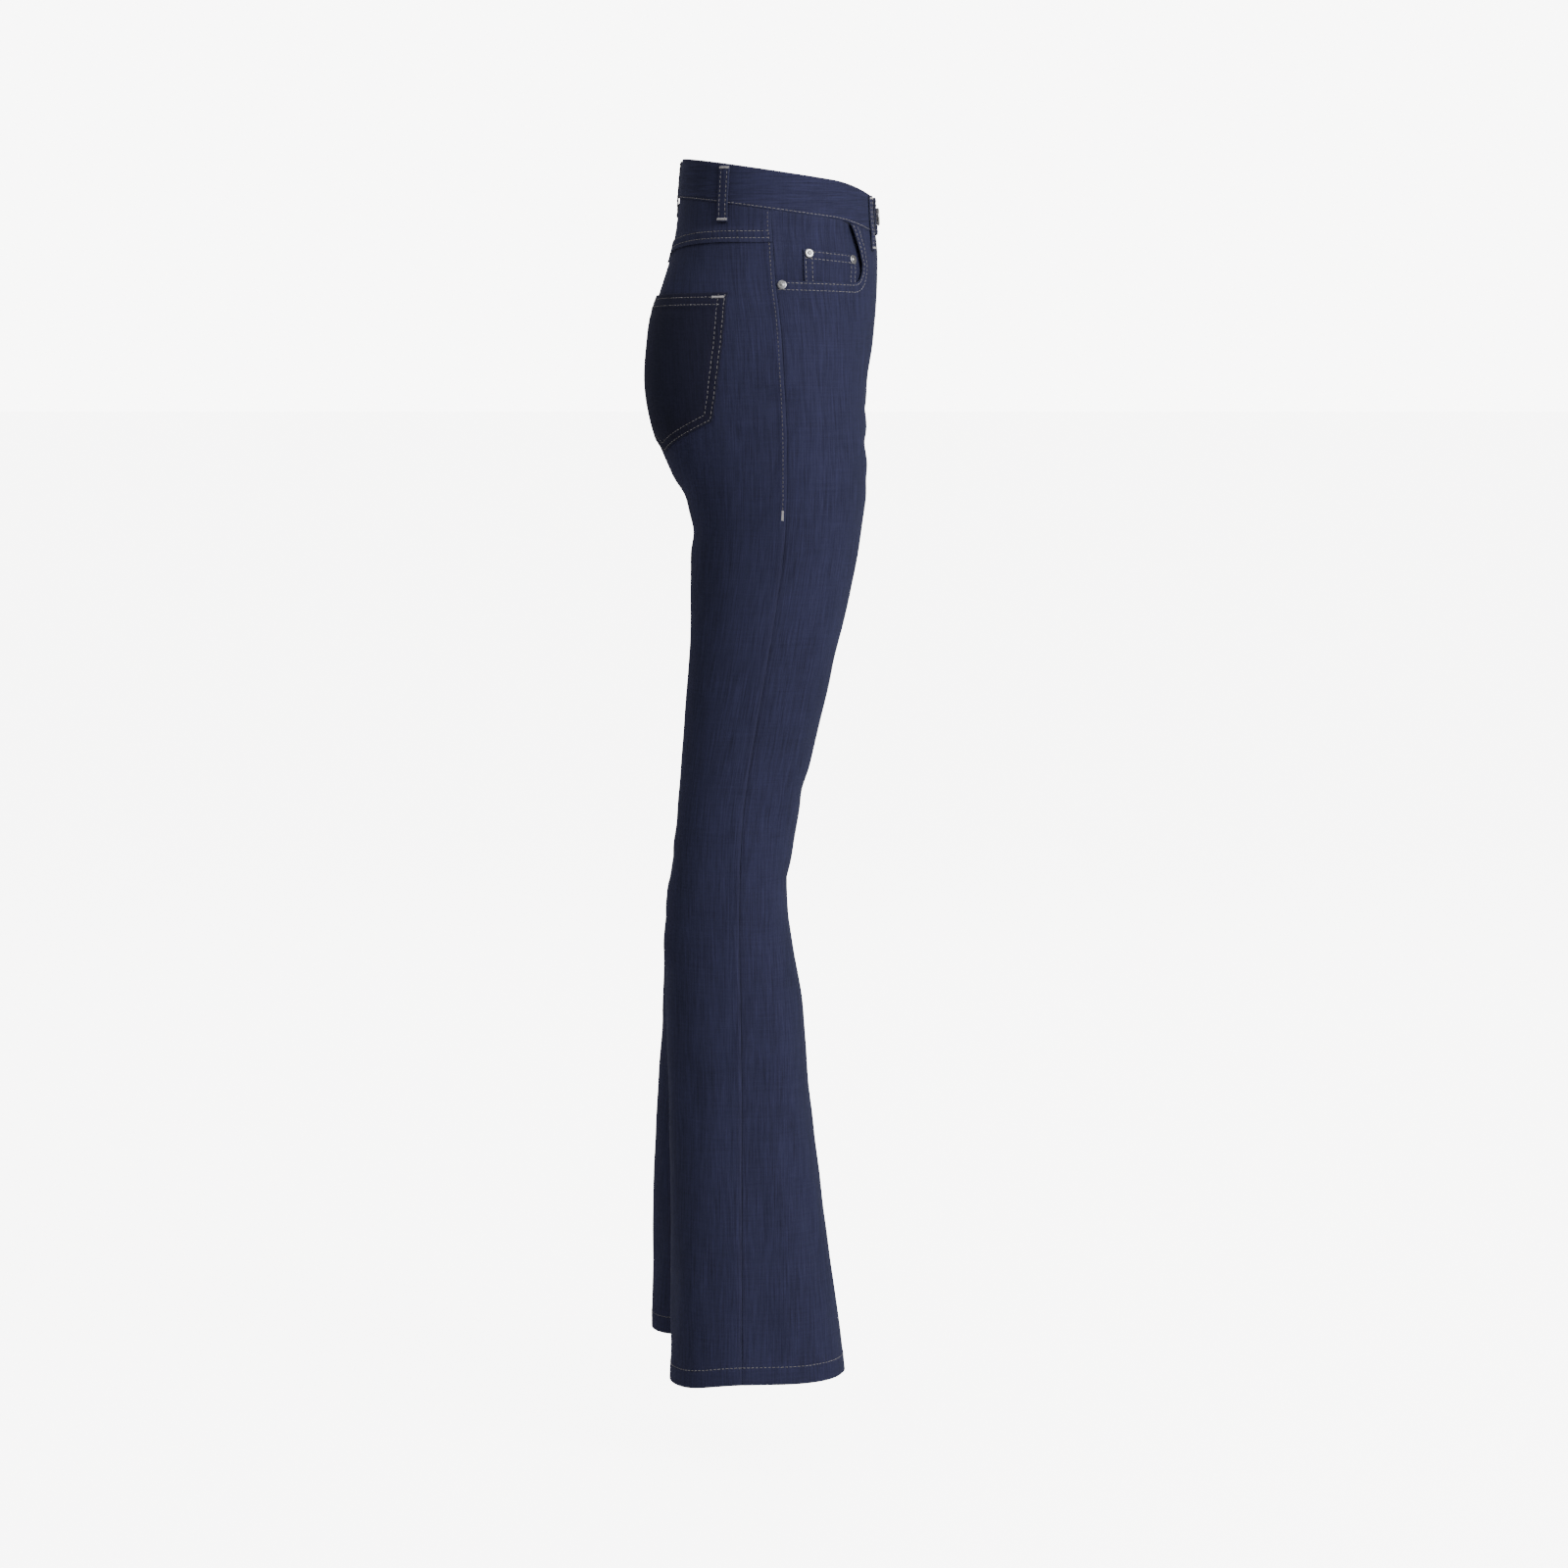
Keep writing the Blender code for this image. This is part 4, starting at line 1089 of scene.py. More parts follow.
def make_front_panel(side):
    column = 1 - shares(FRONT_WIDTH, 2.9 * MM, marks=ROWS[:1])
    column = np.unique(np.append(column, SCOOP_COLUMNS))[None]
    row = shares(LEG_HEIGHT, marks=[HEM_ROW], high=False)[:, None]
    z = mix(hem_height(2 + 2 * column), BODY_TOP, row)
    end = line_at(distance_at(4.0, z) + fly_lap(z), z) if side > 0 else 4.0
    line = mix(2.0, end, column) + 0 * z
    top_line, top_z = front_top(side, column)
    rise = shares(SCOOP_HEIGHT, 2.2 * MM, far_marks=ROWS, low=False)[1:, None]
    line = np.concatenate([line, mix(line[-1:], top_line, rise)])
    z = np.concatenate([z, mix(z[-1:], top_z, rise)])
    cloth("front_panel_" + side_name(side), side, line, z, front_lift, hem_wall(line, z))


def turn_up_lift(side, line, z):
    return hem_lift(line, z) - DENIM - TURN_UP_GAP


def make_hem_turn_up(side):
    """The hem's inner fold, a ring round the opening."""
    line = 4 * shares(HEM_ROUND, low=False, high=False)[None]
    row = shares(HEM_DEPTH, 2.5 * MM, low=False)[:, None]
    z = hem_height(line) + mix(TURN_UP_FOOT, HEM_DEPTH + TURN_UP_PAST, row)
    cloth("hem_turn_up_" + side_name(side), side, line, z, turn_up_lift, LIGHT_DENIM,
          edges=("top",))


# ---------------------------------------------------------------- pockets

FACING_HEIGHT = 80 * MM
COIN_OUTER = 27 * MM
COIN_INNER = 86.5 * MM
COIN_TOP_OUTER = -49 * MM
COIN_TOP_INNER = -54.5 * MM
COIN_BOTTOM = -96 * MM
PocketEdge = namedtuple("PocketEdge", "inner outer inner_z outer_z")
POCKET_TOP = PocketEdge(32 * MM, 179 * MM, -92 * MM, -88.5 * MM)
POCKET_FOOT = PocketEdge(58 * MM, 188 * MM, -209 * MM, -204 * MM)
POCKET_TIP = 27 * MM
POCKET_BOW = 9 * MM


def make_facing(side):
    """The denim behind the scoop."""
    reach = SCOOP_RUN + SCOOP_CORNER + FACING_TUCK
    distance = shares(reach, 3 * MM)[None] * reach
    row = shares(FACING_HEIGHT, 3 * MM)[:, None]
    bottom = SCOOP_TOP - SCOOP_FALL - FACING_TUCK
    high = from_side(distance, FACING_TOP)
    z = mix(bottom, waist_seam(high) + BAND_GAP, row)
    cloth("front_pocket_facing_" + side_name(side), side,
          mix(from_side(distance, bottom), high, row), z, facing_lift, LIGHT_DENIM)


def make_coin_pocket():
    column = shares(COIN_INNER - COIN_OUTER, 2.6 * MM, ROWS, ROWS)[None]
    row = shares(COIN_TOP_OUTER - COIN_BOTTOM, 2.6 * MM, far_marks=ROWS)[:, None]
    across = mix(COIN_OUTER, COIN_INNER, column)
    z = mix(COIN_BOTTOM, coin_top(across), row)
    cloth("coin_pocket", RIGHT, from_side(across, z), z, coin_lift, LIGHT_DENIM,
          rests_on=["front_pocket_facing_right_cloth"])


def pocket_place(column, row):
    """Distance from centre back and height at shares across and up the pocket."""
    foot = mix(POCKET_FOOT.inner_z, POCKET_FOOT.outer_z, column)
    foot = foot - POCKET_TIP * (1 - np.abs(2 * column - 1))
    z = mix(foot, mix(POCKET_TOP.inner_z, POCKET_TOP.outer_z, column), row)
    distance = mix(mix(POCKET_FOOT.inner, POCKET_FOOT.outer, column),
                   mix(POCKET_TOP.inner, POCKET_TOP.outer, column), row)
    return distance + POCKET_BOW * column * 4 * row * (1 - row), z


def pocket_corners():
    """Corners of a back pocket, from the top inner one down and round."""
    sides = [pocket_place(0.0, 1.0), pocket_place(0.0, 0.0), pocket_place(0.5, 0.0)]
    sides += [pocket_place(1.0, share) for share in np.linspace(0, 1, 6)]
    return np.array(sides)


def edge_reach(corners, across, z):
    """Distance inside each edge of an outline whose corners run anticlockwise."""
    reach = []
    for (x0, z0), (x1, z1) in zip(corners, np.roll(corners, -1, axis=0)):
        length = math.hypot(x1 - x0, z1 - z0)
        reach.append(((x1 - x0) * (z - z0) - (z1 - z0) * (across - x0)) / length)
    return reach


def pocket_lift(side, line, z):
    *sewn_edges, top = edge_reach(pocket_corners(), distance_at(line, z), z)
    from_edge = np.minimum.reduce(sewn_edges)
    along = distance_at(line, z) + z
    middle = smooth(from_edge / POCKET_BULGE_IN) * smooth(top / POCKET_BULGE_DOWN)
    hemmed = band(top, POCKET_HEM_ROWS[1] + 1.5 * MM, POCKET_HEM_RISE)
    return (DENIM + POCKET_GAP + POCKET_BULGE * middle + hemmed + sewn(from_edge, along, ROWS)
            + sewn(top, along, POCKET_HEM_ROWS))


def make_back_pocket(side):
    width = POCKET_TOP.outer - POCKET_TOP.inner
    height = POCKET_TOP.inner_z - POCKET_FOOT.inner_z
    column = np.unique(np.append(shares(width, 3 * MM, ROWS, ROWS), 0.5))[None]
    row = shares(height, 3 * MM, ROWS, POCKET_HEM_ROWS)[:, None]
    distance, z = pocket_place(column, row)
    # cut from the darker copy of the denim, a painted shade
    cloth("back_pocket_" + side_name(side), side, line_at(distance, z), z, pocket_lift,
          finish=SHADED_INDIGO, rests_on=["back_panel_" + side_name(side) + "_cloth"])


# ---------------------------------------------------------------- waistband and belt loops

BAND_LENGTH = 0.76


def band_places(steps):
    """The band's run from its right end, round the back, to its lapping left end."""
    end = float(from_front(-BAND_LAP, waist_seam(4.0)))
    return mix(-end, end, steps)


def make_waistband():
    ring = band_places(shares(BAND_LENGTH, 3.4 * MM))[None]
    row = shares(BAND_BACK, 2.6 * MM, marks=[BAND_ROW])[:, None]
    line = np.abs(ring)
    nearest = np.minimum(line, 8 - line)
    z = band_foot(nearest) + band_height(nearest) * row
    cloth("waistband", np.where(ring < 0, RIGHT, LEFT), line, z, band_lift, BAND_WALL,
          flip=True, weave_along=True)


LOOP_WIDTH = 11 * MM
LOOP_STAND = 0.8 * MM
LOOP_FOOT_GAP = 0.45 * MM
LOOP_TAIL = 16.5 * MM
LOOP_TACK = 5 * MM
LOOP_SHOULDER = 6 * MM
LOOP_EDGE = 1 * MM
LOOP_SOFT = 2.5 * MM        # its bends are rounded over this
LOOP_CROWN = 0.25 * MM
SIDE_LOOP = 136 * MM
FRONT_LOOP = 62 * MM


class BeltLoop:
    """Where a belt loop lies: heights and lifts along it, and lines across it."""

    def __init__(self, side, distance):
        self.side, self.distance = side, distance
        middle = abs(float(line_at(distance, 0.0)))
        seam = float(waist_seam(middle))
        top = seam + float(band_height(middle))
        flat = LOOP_FOOT_GAP + LOOP_WALL
        proud = BAND_PROUD + LOOP_STAND + LOOP_WALL
        self.heights = [seam - LOOP_TAIL, seam - LOOP_TAIL + LOOP_TACK, seam - LOOP_EDGE,
                        mix(seam, top, 0.5), top - LOOP_SHOULDER, top - LOOP_EDGE]
        self.lifts = [flat, flat, proud, proud, proud, BAND_PROUD + flat]

    def line(self, across):
        return line_at(self.distance + LOOP_WIDTH * across, 0.0)

    def lift(self, z, across):
        reach = np.linspace(-LOOP_SOFT, LOOP_SOFT, 7)
        level = np.mean([np.interp(z + step, self.heights, self.lifts) for step in reach], axis=0)
        crown = LOOP_CROWN * (1 - (2 * across) ** 2)
        return level + crown + sewn(LOOP_WIDTH * (0.5 - np.abs(across)), z, [LOOP_ROW]) * 0.7


def belt_loops():
    front = float(distance_at(4.0, 0.0)) - FRONT_LOOP
    loops = {"belt_loop_back": BeltLoop(LEFT, 0.0)}
    for side in SIDES:
        loops["belt_loop_side_" + side_name(side)] = BeltLoop(side, SIDE_LOOP)
        loops["belt_loop_front_" + side_name(side)] = BeltLoop(side, front)
    return loops


def make_belt_loop(name, loop):
    across = (shares(LOOP_WIDTH, 1.2 * MM) - 0.5)[None]
    low, high = loop.heights[0], loop.heights[-1]
    z = mix(low, high, shares(high - low, 1.8 * MM))[:, None]
    cloth(name, loop.side, loop.line(across), z, loop.lift(z, across), LOOP_WALL)


# ---------------------------------------------------------------- fly

ZIP_LIFT = -(DENIM + LAYER_GAP)
ZIP_BOW = 3.4 * MM
TAPE_HALF = 15 * MM
TAPE_DOWN = 2 * MM
TAPE_PAST = 4 * MM
SHIELD_HALF = 20 * MM
SHIELD_DOWN = 1 * MM
SHIELD_PAST = 8 * MM
SLIDER_TOP = -50 * MM
TOOTH_PITCH = 2.1 * MM
TOOTH_HALF = 0.62 * MM
TOOTH_LENGTH = 3.0 * MM
TOOTH_OUT = 0.7 * MM        # of the closed zip's teeth, from its middle
TOOTH_LIFT = 0.25 * MM      # over the tape
TEETH_DOWN = 4 * MM         # the highest one lies this far below the tape's end
TEETH_PARTED = 1.8 * MM     # above the slider they lie further out by this
TEETH_PART_RUN = 10 * MM
SLIDER_LIFT = 2.6 * MM
SLIDER_ROUND = 0.25 * MM


def zip_lift(distance, half_width, lift):
    """A strip behind centre front whose middle bows inwards."""
    return lift - ZIP_BOW * np.cos(np.clip(distance / half_width, -1, 1) * math.pi / 2)


def make_fly_strip(node, half_width, lift, top, bottom, finish):
    distance = mix(half_width, -half_width, shares(2 * half_width, 2.5 * MM))[None]
    z = mix(bottom, top, shares(top - bottom, 3 * MM))[:, None]
    cloth(node, LEFT, from_front(distance, z), z, zip_lift(distance, half_width, lift),
          LIGHT_DENIM, finish)


def turned_frame(side, line, z, lift):
    """Origin, across, up and outward directions at places on the cloth."""
    normal = outward(side, line, z)
    origin = hull(side, line, z) + normal * np.asarray(lift)[..., None]
    across = unit(np.cross(np.array([0.0, 0.0, 1.0]), normal))
    return origin, across, np.cross(normal, across), normal


# ---------------------------------------------------------------- small repeated pieces

def stack(rings, sides):
    """Faces of a closed stack of rings: the quads round it, and its two caps."""
    index = np.arange(rings * sides).reshape(rings, sides)
    after = np.roll(index, -1, axis=1)
    quads = np.stack([index[:-1], after[:-1], after[1:], index[1:]], -1).reshape(-1, 4)
    return quads, np.array([index[0, ::-1], index[-1]])


def bar(radius, sides, stations, sink):
    """A short bar along X, 1 long, whose ends taper and dip: points, quads and caps."""
    share, girth, drop = np.array(stations).T[..., None]
    angle = math.tau * np.arange(sides) / sides
    points = np.stack([share + 0 * angle, np.cos(angle) * radius * girth,
                       np.sin(angle) * radius * girth - drop * sink], -1)
    return points.reshape(-1, 3), *stack(len(stations), sides)


STITCH_STATIONS = [(-0.5, 0.55, 1.5), (-0.34, 1.0, 0.3), (0.0, 1.08, 0.0), (0.34, 1.0, 0.3),
                   (0.5, 0.55, 1.5)]
TOOTH_STATIONS = [(-0.5, 0.7, 0.0), (-0.35, 1.0, 0.0), (0.35, 1.0, 0.0), (0.5, 0.7, 0.0)]


def copies(name, shape, centre, along, normal, stretch, finish, pale=0.0):
    """One mesh of many copies of a bar, each placed along its own direction."""
    points, quads, caps = shape
    aside = unit(np.cross(normal, along))
    upward = np.cross(along, aside)
    world = (centre[:, None] + along[:, None] * (points[None, :, :1] * stretch[:, None, None])
             + aside[:, None] * points[None, :, 1:2] + upward[:, None] * points[None, :, 2:])
    start = np.arange(len(centre))[:, None, None] * len(points)
    faces = [face for group in (quads, caps)
             for face in (group[None] + start).reshape(-1, group.shape[1]).tolist()]
    places = np.stack([points[:, 0] + points[:, 1], points[:, 2] + points[:, 1]], -1)
    places = np.tile(places, (len(centre), 1)) + np.repeat(centre[:, :2], len(points), axis=0)
    # pale sets each copy's thread from painted shade (0) to painted highlight (1)
    pale = np.repeat(np.broadcast_to(pale, len(centre)), len(points))
    return make_piece(name, world.reshape(-1, 3), faces, finish, places, {"pale": pale})


def upright(start, end, step=2 * MM):
    """Heights from one to the other in small steps."""
    return np.linspace(start, end, max(int(abs(end - start) / step), 4))


class Thread:
    """Collects the stitches of one group of seams and makes them one piece."""

    def __init__(self, name):
        self.name = name
        # how far this group's thread is painted from shade towards highlight
        self.pale = SEAM_PAINTED_LIGHT.get(name, ROW_PAINTED_LIGHT)
        self.parts = []

    def row(self, side, line, z, lift, tack=False):
        """A row of stitches along a path; for a bar tack, laid close and across the path."""
        pitch, length, raise_by = TACK if tack else STITCH
        form, normal, height = raised(side, line, z, lift)
        points = form + normal * height[..., None]
        run = np.insert(np.cumsum(np.linalg.norm(np.diff(points, axis=0), axis=-1)), 0, 0)
        count = max(int(run[-1] / pitch), 1)
        at = (np.arange(count) + 0.5) * run[-1] / count
        reach = 0.4 * min(pitch, run[-1])

        def follow(values, places):
            return np.stack([np.interp(places, run, column) for column in values.T], -1)

        along = unit(follow(points, at + reach) - follow(points, at - reach))
        facing = unit(follow(normal, at))
        if tack:
            along = unit(np.cross(facing, along) + TACK_SLANT * along)
        wobble = np.sin(np.arange(count) * 2.4 + len(self.parts) * 1.7)
        along = unit(along + np.cross(facing, along) * (STITCH_TURN * wobble)[:, None])
        centre = follow(points, at) + facing * (raise_by * THREAD_RADIUS)
        stretch = length * (1 + STITCH_CHANGE * wobble)
        # a bar tack's thread is painted as a highlight, other rows with the group's painted light
        pale = np.full(count, 1.0 if tack else self.pale)
        self.parts.append((centre, along, facing, stretch, pale))

    def tack(self, side, line, z, lift):
        self.row(side, line, z, lift, True)

    def upright_row(self, side, place, distance, start, end, lift, tack=False):
        """A row from one height to another, at a distance from the seam that place reads."""
        z = upright(start, end)
        self.row(side, place(distance, z), z, lift, tack)

    def finish(self):
        centre, along, facing, stretch, pale = [np.concatenate(part) for part in zip(*self.parts)]
        copies(self.name, bar(THREAD_RADIUS, 5, STITCH_STATIONS, THREAD_RADIUS), centre, along,
               facing, stretch, THREAD, pale)


# ---------------------------------------------------------------- sewing

def sew_waistband(thread):
    ring = band_places(np.linspace(0.003, 0.997, 500))
    for side in SIDES:
        line = np.abs(ring[ring * side >= 0])
        thread.row(side, line, band_foot(np.minimum(line, 8 - line)) + BAND_ROW, band_lift)
    seam = waist_seam(4.0)
    thread.upright_row(LEFT, from_front, -BAND_LAP + BAND_END_ROW, seam + 2 * MM,
                       seam + BAND_FRONT - 1 * MM, band_lift)
    turn = np.linspace(0, math.tau, 90)
    z = seam + BAND_FRONT * 0.5 + BUTTONHOLE_HALF * np.sin(turn)
    across = BUTTONHOLE_MIDDLE + BUTTONHOLE_REACH * np.cos(turn)
    thread.tack(LEFT, from_front(across, z), z, band_lift)


def sew_yoke_and_seat(thread):
    line = np.linspace(0.0, 1.985, 160)
    for side in SIDES:
        for row in ROWS:
            thread.row(side, line, yoke_seam(line) + row, yoke_lift)
    yoke, waist = yoke_seam(0.0), waist_seam(0.0)
    for row in ROWS:
        thread.upright_row(LEFT, line_at, row, SEAT_ROWS_FOOT, yoke - ROW_TUCK, back_lift)
        thread.upright_row(LEFT, line_at, row, yoke, waist - ROW_CLEAR, yoke_lift)


def sew_side_seams(thread):
    yoke, waist = yoke_seam(2.0), waist_seam(2.0)
    for side in SIDES:
        seam = (side, from_side, -SIDE_ROW)
        thread.upright_row(*seam, waist - ROW_CLEAR, yoke, yoke_lift)
        thread.upright_row(*seam, yoke - ROW_TUCK, SIDE_TACK_TOP, back_lift)
        thread.upright_row(*seam, SIDE_TACK_TOP, SIDE_TACK_END, back_lift, True)


def scoop_path(inset):
    """The scoop's edge moved onto the front panel by inset: distance and height."""
    distance, height = scoop_edge(np.linspace(0, 1, 220))
    along, up = np.gradient(distance), np.gradient(height)
    length = np.hypot(along, up)
    distance, height = distance + inset * up / length, height - inset * along / length
    shown = (height < waist_seam(from_side(distance, height)) - 0.5 * MM) & (distance > 1 * MM)
    return distance[shown], height[shown]


def sew_front_pockets(thread):
    for side in SIDES:
        for row in ROWS:
            distance, z = scoop_path(row)
            thread.row(side, from_side(distance, z), z, front_lift)
    for row in ROWS:
        across = np.linspace(COIN_OUTER + 1 * MM, COIN_INNER - 1 * MM, 40)
        z = coin_top(across) - row
        thread.row(RIGHT, from_side(across, z), z, coin_lift)
        for edge in (COIN_OUTER + row, COIN_INNER - row):
            thread.upright_row(RIGHT, from_side, edge, coin_top(edge) - ROWS[0],
                               COIN_BOTTOM + 4 * MM, coin_lift)


def inset_corners(corners, inset):
    """The corners of an outline moved inwards by the same distance from each edge."""
    moved = []
    for before, here, after in zip(np.roll(corners, 1, axis=0), corners,
                                   np.roll(corners, -1, axis=0)):
        first, second = unit(here - before), unit(after - here)
        inward = np.array([-first[1], first[0]]) + np.array([-second[1], second[0]])
        share = 1 + first @ second
        moved.append(here + inward * inset / share)
    return np.array(moved)


def between(start, end, step=2 * MM):
    """Places from one corner to the next."""
    count = max(int(np.linalg.norm(end - start) / step), 4)
    return mix(start, end, np.linspace(0, 1, count)[:, None])


def sew_back_pockets(thread):
    def top_row(start, end, count, row):
        distance, z = pocket_place(np.linspace(start, end, count), 1.0)
        return line_at(distance, z - row), z - row

    for side in SIDES:
        for row in ROWS:
            corners = inset_corners(pocket_corners(), row)
            corners[0] = (POCKET_TOP.inner + row + 0.3 * MM, POCKET_TOP.inner_z - 1 * MM)
            corners[-1] = (POCKET_TOP.outer - row, POCKET_TOP.outer_z - 1 * MM)
            for start, end in zip(corners, corners[1:]):
                distance, z = between(start, end).T
                thread.row(side, line_at(distance, z), z, pocket_lift)
        for row in POCKET_HEM_ROWS:
            thread.row(side, *top_row(0.015, 0.985, 90, row), pocket_lift)
        for start, end in ((0.01, 0.09), (0.91, 0.99)):
            line, z = top_row(start, end, 12, POCKET_HEM_ROWS[0])
            thread.tack(side, line, z, pocket_lift(side, line, z) + 0.2 * MM)


def sew_fly_and_crotch(thread):
    for row in FLY_ROWS:
        distance, z = fly_path(row)
        thread.row(LEFT, from_front(distance, z), z, front_lift)
    for row in ROWS:
        thread.upright_row(LEFT, from_front, row, FLY_END - 2 * MM, SEAT_ROWS_FOOT, front_lift)
    thread.upright_row(LEFT, from_front, FLY_TACK, FLY_END + 6 * MM, FLY_END - 4 * MM,
                       front_lift, True)
    distance = np.linspace(FLY_ROWS[1] - 6 * MM, FLY_ROWS[0] - 3 * MM, 12)
    z = FLY_END + FLY_TACK_RISE
    thread.tack(LEFT, from_front(distance, z), z, front_lift)


def sew_inseams(thread):
    for side in SIDES:
        for row in ROWS:
            thread.upright_row(side, from_front, row, INSEAM_ROWS_TOP, HEM + 2 * MM, front_lift)


def hem_row_lift(side, line, z):
    return np.where(line > 2, front_lift(side, line, z), hem_lift(line, z))


def sew_hems(thread):
    line = np.linspace(0.01, 3.99, 400)
    for side in SIDES:
        thread.row(side, line, hem_height(line) + HEM_ROW, hem_row_lift)


def sew_belt_loops(thread):
    for loop in belt_loops().values():
        low, high = loop.heights[0], loop.heights[-1]
        for across in (-0.5 + LOOP_ROW / LOOP_WIDTH, 0.5 - LOOP_ROW / LOOP_WIDTH):
            z = upright(low + 1 * MM, high - 1 * MM, 1 * MM)
            thread.row(loop.side, loop.line(across), z, loop.lift(z, across))
        across = np.linspace(-0.47, 0.47, 14)
        for z in (low + 2.4 * MM, high - 2.6 * MM):
            thread.tack(loop.side, loop.line(across), z, loop.lift(z, across))


# ---------------------------------------------------------------- metal

BUTTON_PROFILE = [(0.0, 2.05), (1.2, 2.05), (2.0, 1.85), (3.4, 1.75), (4.6, 1.8), (5.4, 2.1),
                  (6.0, 2.55), (6.8, 2.7), (7.6, 2.5), (8.2, 2.0), (8.5, 1.4), (8.4, 0.8),
                  (7.8, 0.25), (6.0, 0.0), (0.0, 0.0)]
RIVET_PROFILE = [(0.0, 1.55), (0.8, 1.5), (1.3, 1.3), (1.6, 1.0), (2.0, 0.86), (2.9, 0.95),
                 (3.6, 0.9), (4.05, 0.65), (4.3, 0.25), (4.2, 0.0), (0.0, 0.0)]
FLY_LINE = 3.999            # where the centre front's normal is read
TURNED_SIDES = 48
RIVET_IN = 5.5 * MM
RIVET_DOWN = 4.2 * MM
RIVET_STAND = 0.1 * MM      # rivets and the button stand this far off the cloth
BUTTON_STAND = 0.2 * MM


def make_turned(node, profile, side, line, z, lift):
    """A round notion turned about the cloth's normal."""
    origin, across, up, normal = turned_frame(side, line, z, lift)
    angle = (np.arange(TURNED_SIDES) * math.tau / TURNED_SIDES)[:, None]
    round_it = np.cos(angle) * across + np.sin(angle) * up
    rings = np.array(profile[1:-1])[:, None, :, None] * MM
    points = (origin + round_it * rings[:, :, 0] + normal * rings[:, :, 1]).reshape(-1, 3)
    poles = origin + normal * (np.array([profile[0][1], profile[-1][1]]) * MM)[:, None]
    quads, caps = stack(len(rings), TURNED_SIDES)
    faces = quads[:, [0, 3, 2, 1]].tolist()
    for pole, ring in enumerate(caps, len(points)):
        faces += [(pole, *pair) for pair in np.stack([ring, np.roll(ring, 1)], -1).tolist()]
    piece = make_piece(node + "_metal", np.concatenate([points, poles]), faces, NICKEL)
    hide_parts(node)


def make_button():
    lift = BAND_PROUD + BAND_WALL + BAND_LAP_GAP + SEAM_GAP + BUTTON_STAND
    middle = float(waist_seam(4.0)) + BAND_FRONT * 0.5
    make_turned("waist_button", BUTTON_PROFILE, LEFT, FLY_LINE, middle, lift)


def make_rivet(node, side, across, z, face_lift):
    line = float(from_side(across, z))
    lift = float(face_lift(side, line, z) + relief(side, line, z)) + RIVET_STAND
    make_turned(node, RIVET_PROFILE, side, line, z, lift)


def make_rivets():
    for side in SIDES:
        make_rivet("rivet_scoop_" + side_name(side), side, RIVET_IN, SCOOP_TOP - RIVET_DOWN,
                   front_lift)
    make_rivet("rivet_coin_outer", RIGHT, COIN_OUTER + RIVET_IN, COIN_TOP_OUTER - RIVET_DOWN,
               coin_lift)
    make_rivet("rivet_coin_inner", RIGHT, COIN_INNER - RIVET_IN, COIN_TOP_INNER - RIVET_DOWN,
               coin_lift)


def make_zip_teeth():
    z = np.arange(FLY_END, float(waist_seam(4.0)) - TAPE_DOWN - TEETH_DOWN, TOOTH_PITCH / 2)
    hand = np.where(np.arange(len(z)) % 2, 1.0, -1.0)
    parted = TEETH_PARTED * smooth((z - SLIDER_TOP) / TEETH_PART_RUN)
    distance = hand * (TOOTH_OUT + parted)
    lift = zip_lift(distance, TAPE_HALF, ZIP_LIFT) + TOOTH_LIFT
    origin, across, up, normal = turned_frame(LEFT, from_front(distance, z), z, lift)
    copies("zip_teeth", bar(TOOTH_HALF, 4, TOOTH_STATIONS, 0.0), origin, across, normal,
           np.full(len(z), TOOTH_LENGTH), NICKEL)


SLIDER_BODY = [(-3.2, 0.0), (-4.0, -1.2), (-4.0, -5.0), (-2.6, -9.0), (2.6, -9.0), (4.0, -5.0),
               (4.0, -1.2), (3.2, 0.0)]
SLIDER_CROWN = [(-1.1, -1.5), (-1.1, -8.0), (1.1, -8.0), (1.1, -1.5)]
SLIDER_TAB = [(-2.0, -7.0), (-2.6, -10.0), (-2.6, -22.0), (-1.4, -24.0), (1.4, -24.0),
              (2.6, -22.0), (2.6, -10.0), (2.0, -7.0)]
Plate = namedtuple("Plate", "outline low high")
SLIDER_PLATES = [Plate(SLIDER_BODY, -1.8, -0.7), Plate(SLIDER_CROWN, -0.7, -0.1),
                 Plate(SLIDER_TAB, -0.6, 0.3)]


def make_slider():
    """Slider body, its crown and the pull tab that hangs from it."""
    lift = ZIP_LIFT - ZIP_BOW + SLIDER_LIFT
    origin, across, up, normal = turned_frame(LEFT, FLY_LINE, SLIDER_TOP, lift)
    points, faces = [], []
    for plate in SLIDER_PLATES:
        faces += [face[::-1] for group in stack(2, len(plate.outline))
                  for face in (group + len(points)).tolist()]
        points += [origin + (across * x + up * height + normal * level) * MM
                   for level in (plate.low, plate.high) for x, height in plate.outline]
    piece = make_piece("zip_slider_metal", np.array(points), faces, NICKEL)
    rounded = piece.modifiers.new("rounded", "BEVEL")
    rounded.width = SLIDER_ROUND
    rounded.segments = 2
    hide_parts("zip_slider")


# ---------------------------------------------------------------- studio

CAMERA_AWAY = 4.5           # from the middle of the jeans, at their right side
CAMERA_DEPTH = -6.5 * MM
CAMERA_HEIGHT = -90 * MM
CAMERA_PITCH = math.radians(5.82)
CAMERA_LENS = 110.3         # millimetres, for a sensor 36 mm wide
FOOT_HEIGHT = 75 * MM       # the hems hang this far above the floor


def make_camera():
    lens = bpy.data.cameras.new("camera")
    lens.sensor_width = 36
    lens.lens = CAMERA_LENS
    camera = bpy.data.objects.new("camera", lens)
    camera.location = (-CAMERA_AWAY, CAMERA_DEPTH, CAMERA_HEIGHT)
    camera.rotation_euler = (math.pi / 2 - CAMERA_PITCH, 0, -math.pi / 2)
    bpy.context.scene.collection.objects.link(camera)
    bpy.context.scene.camera = camera


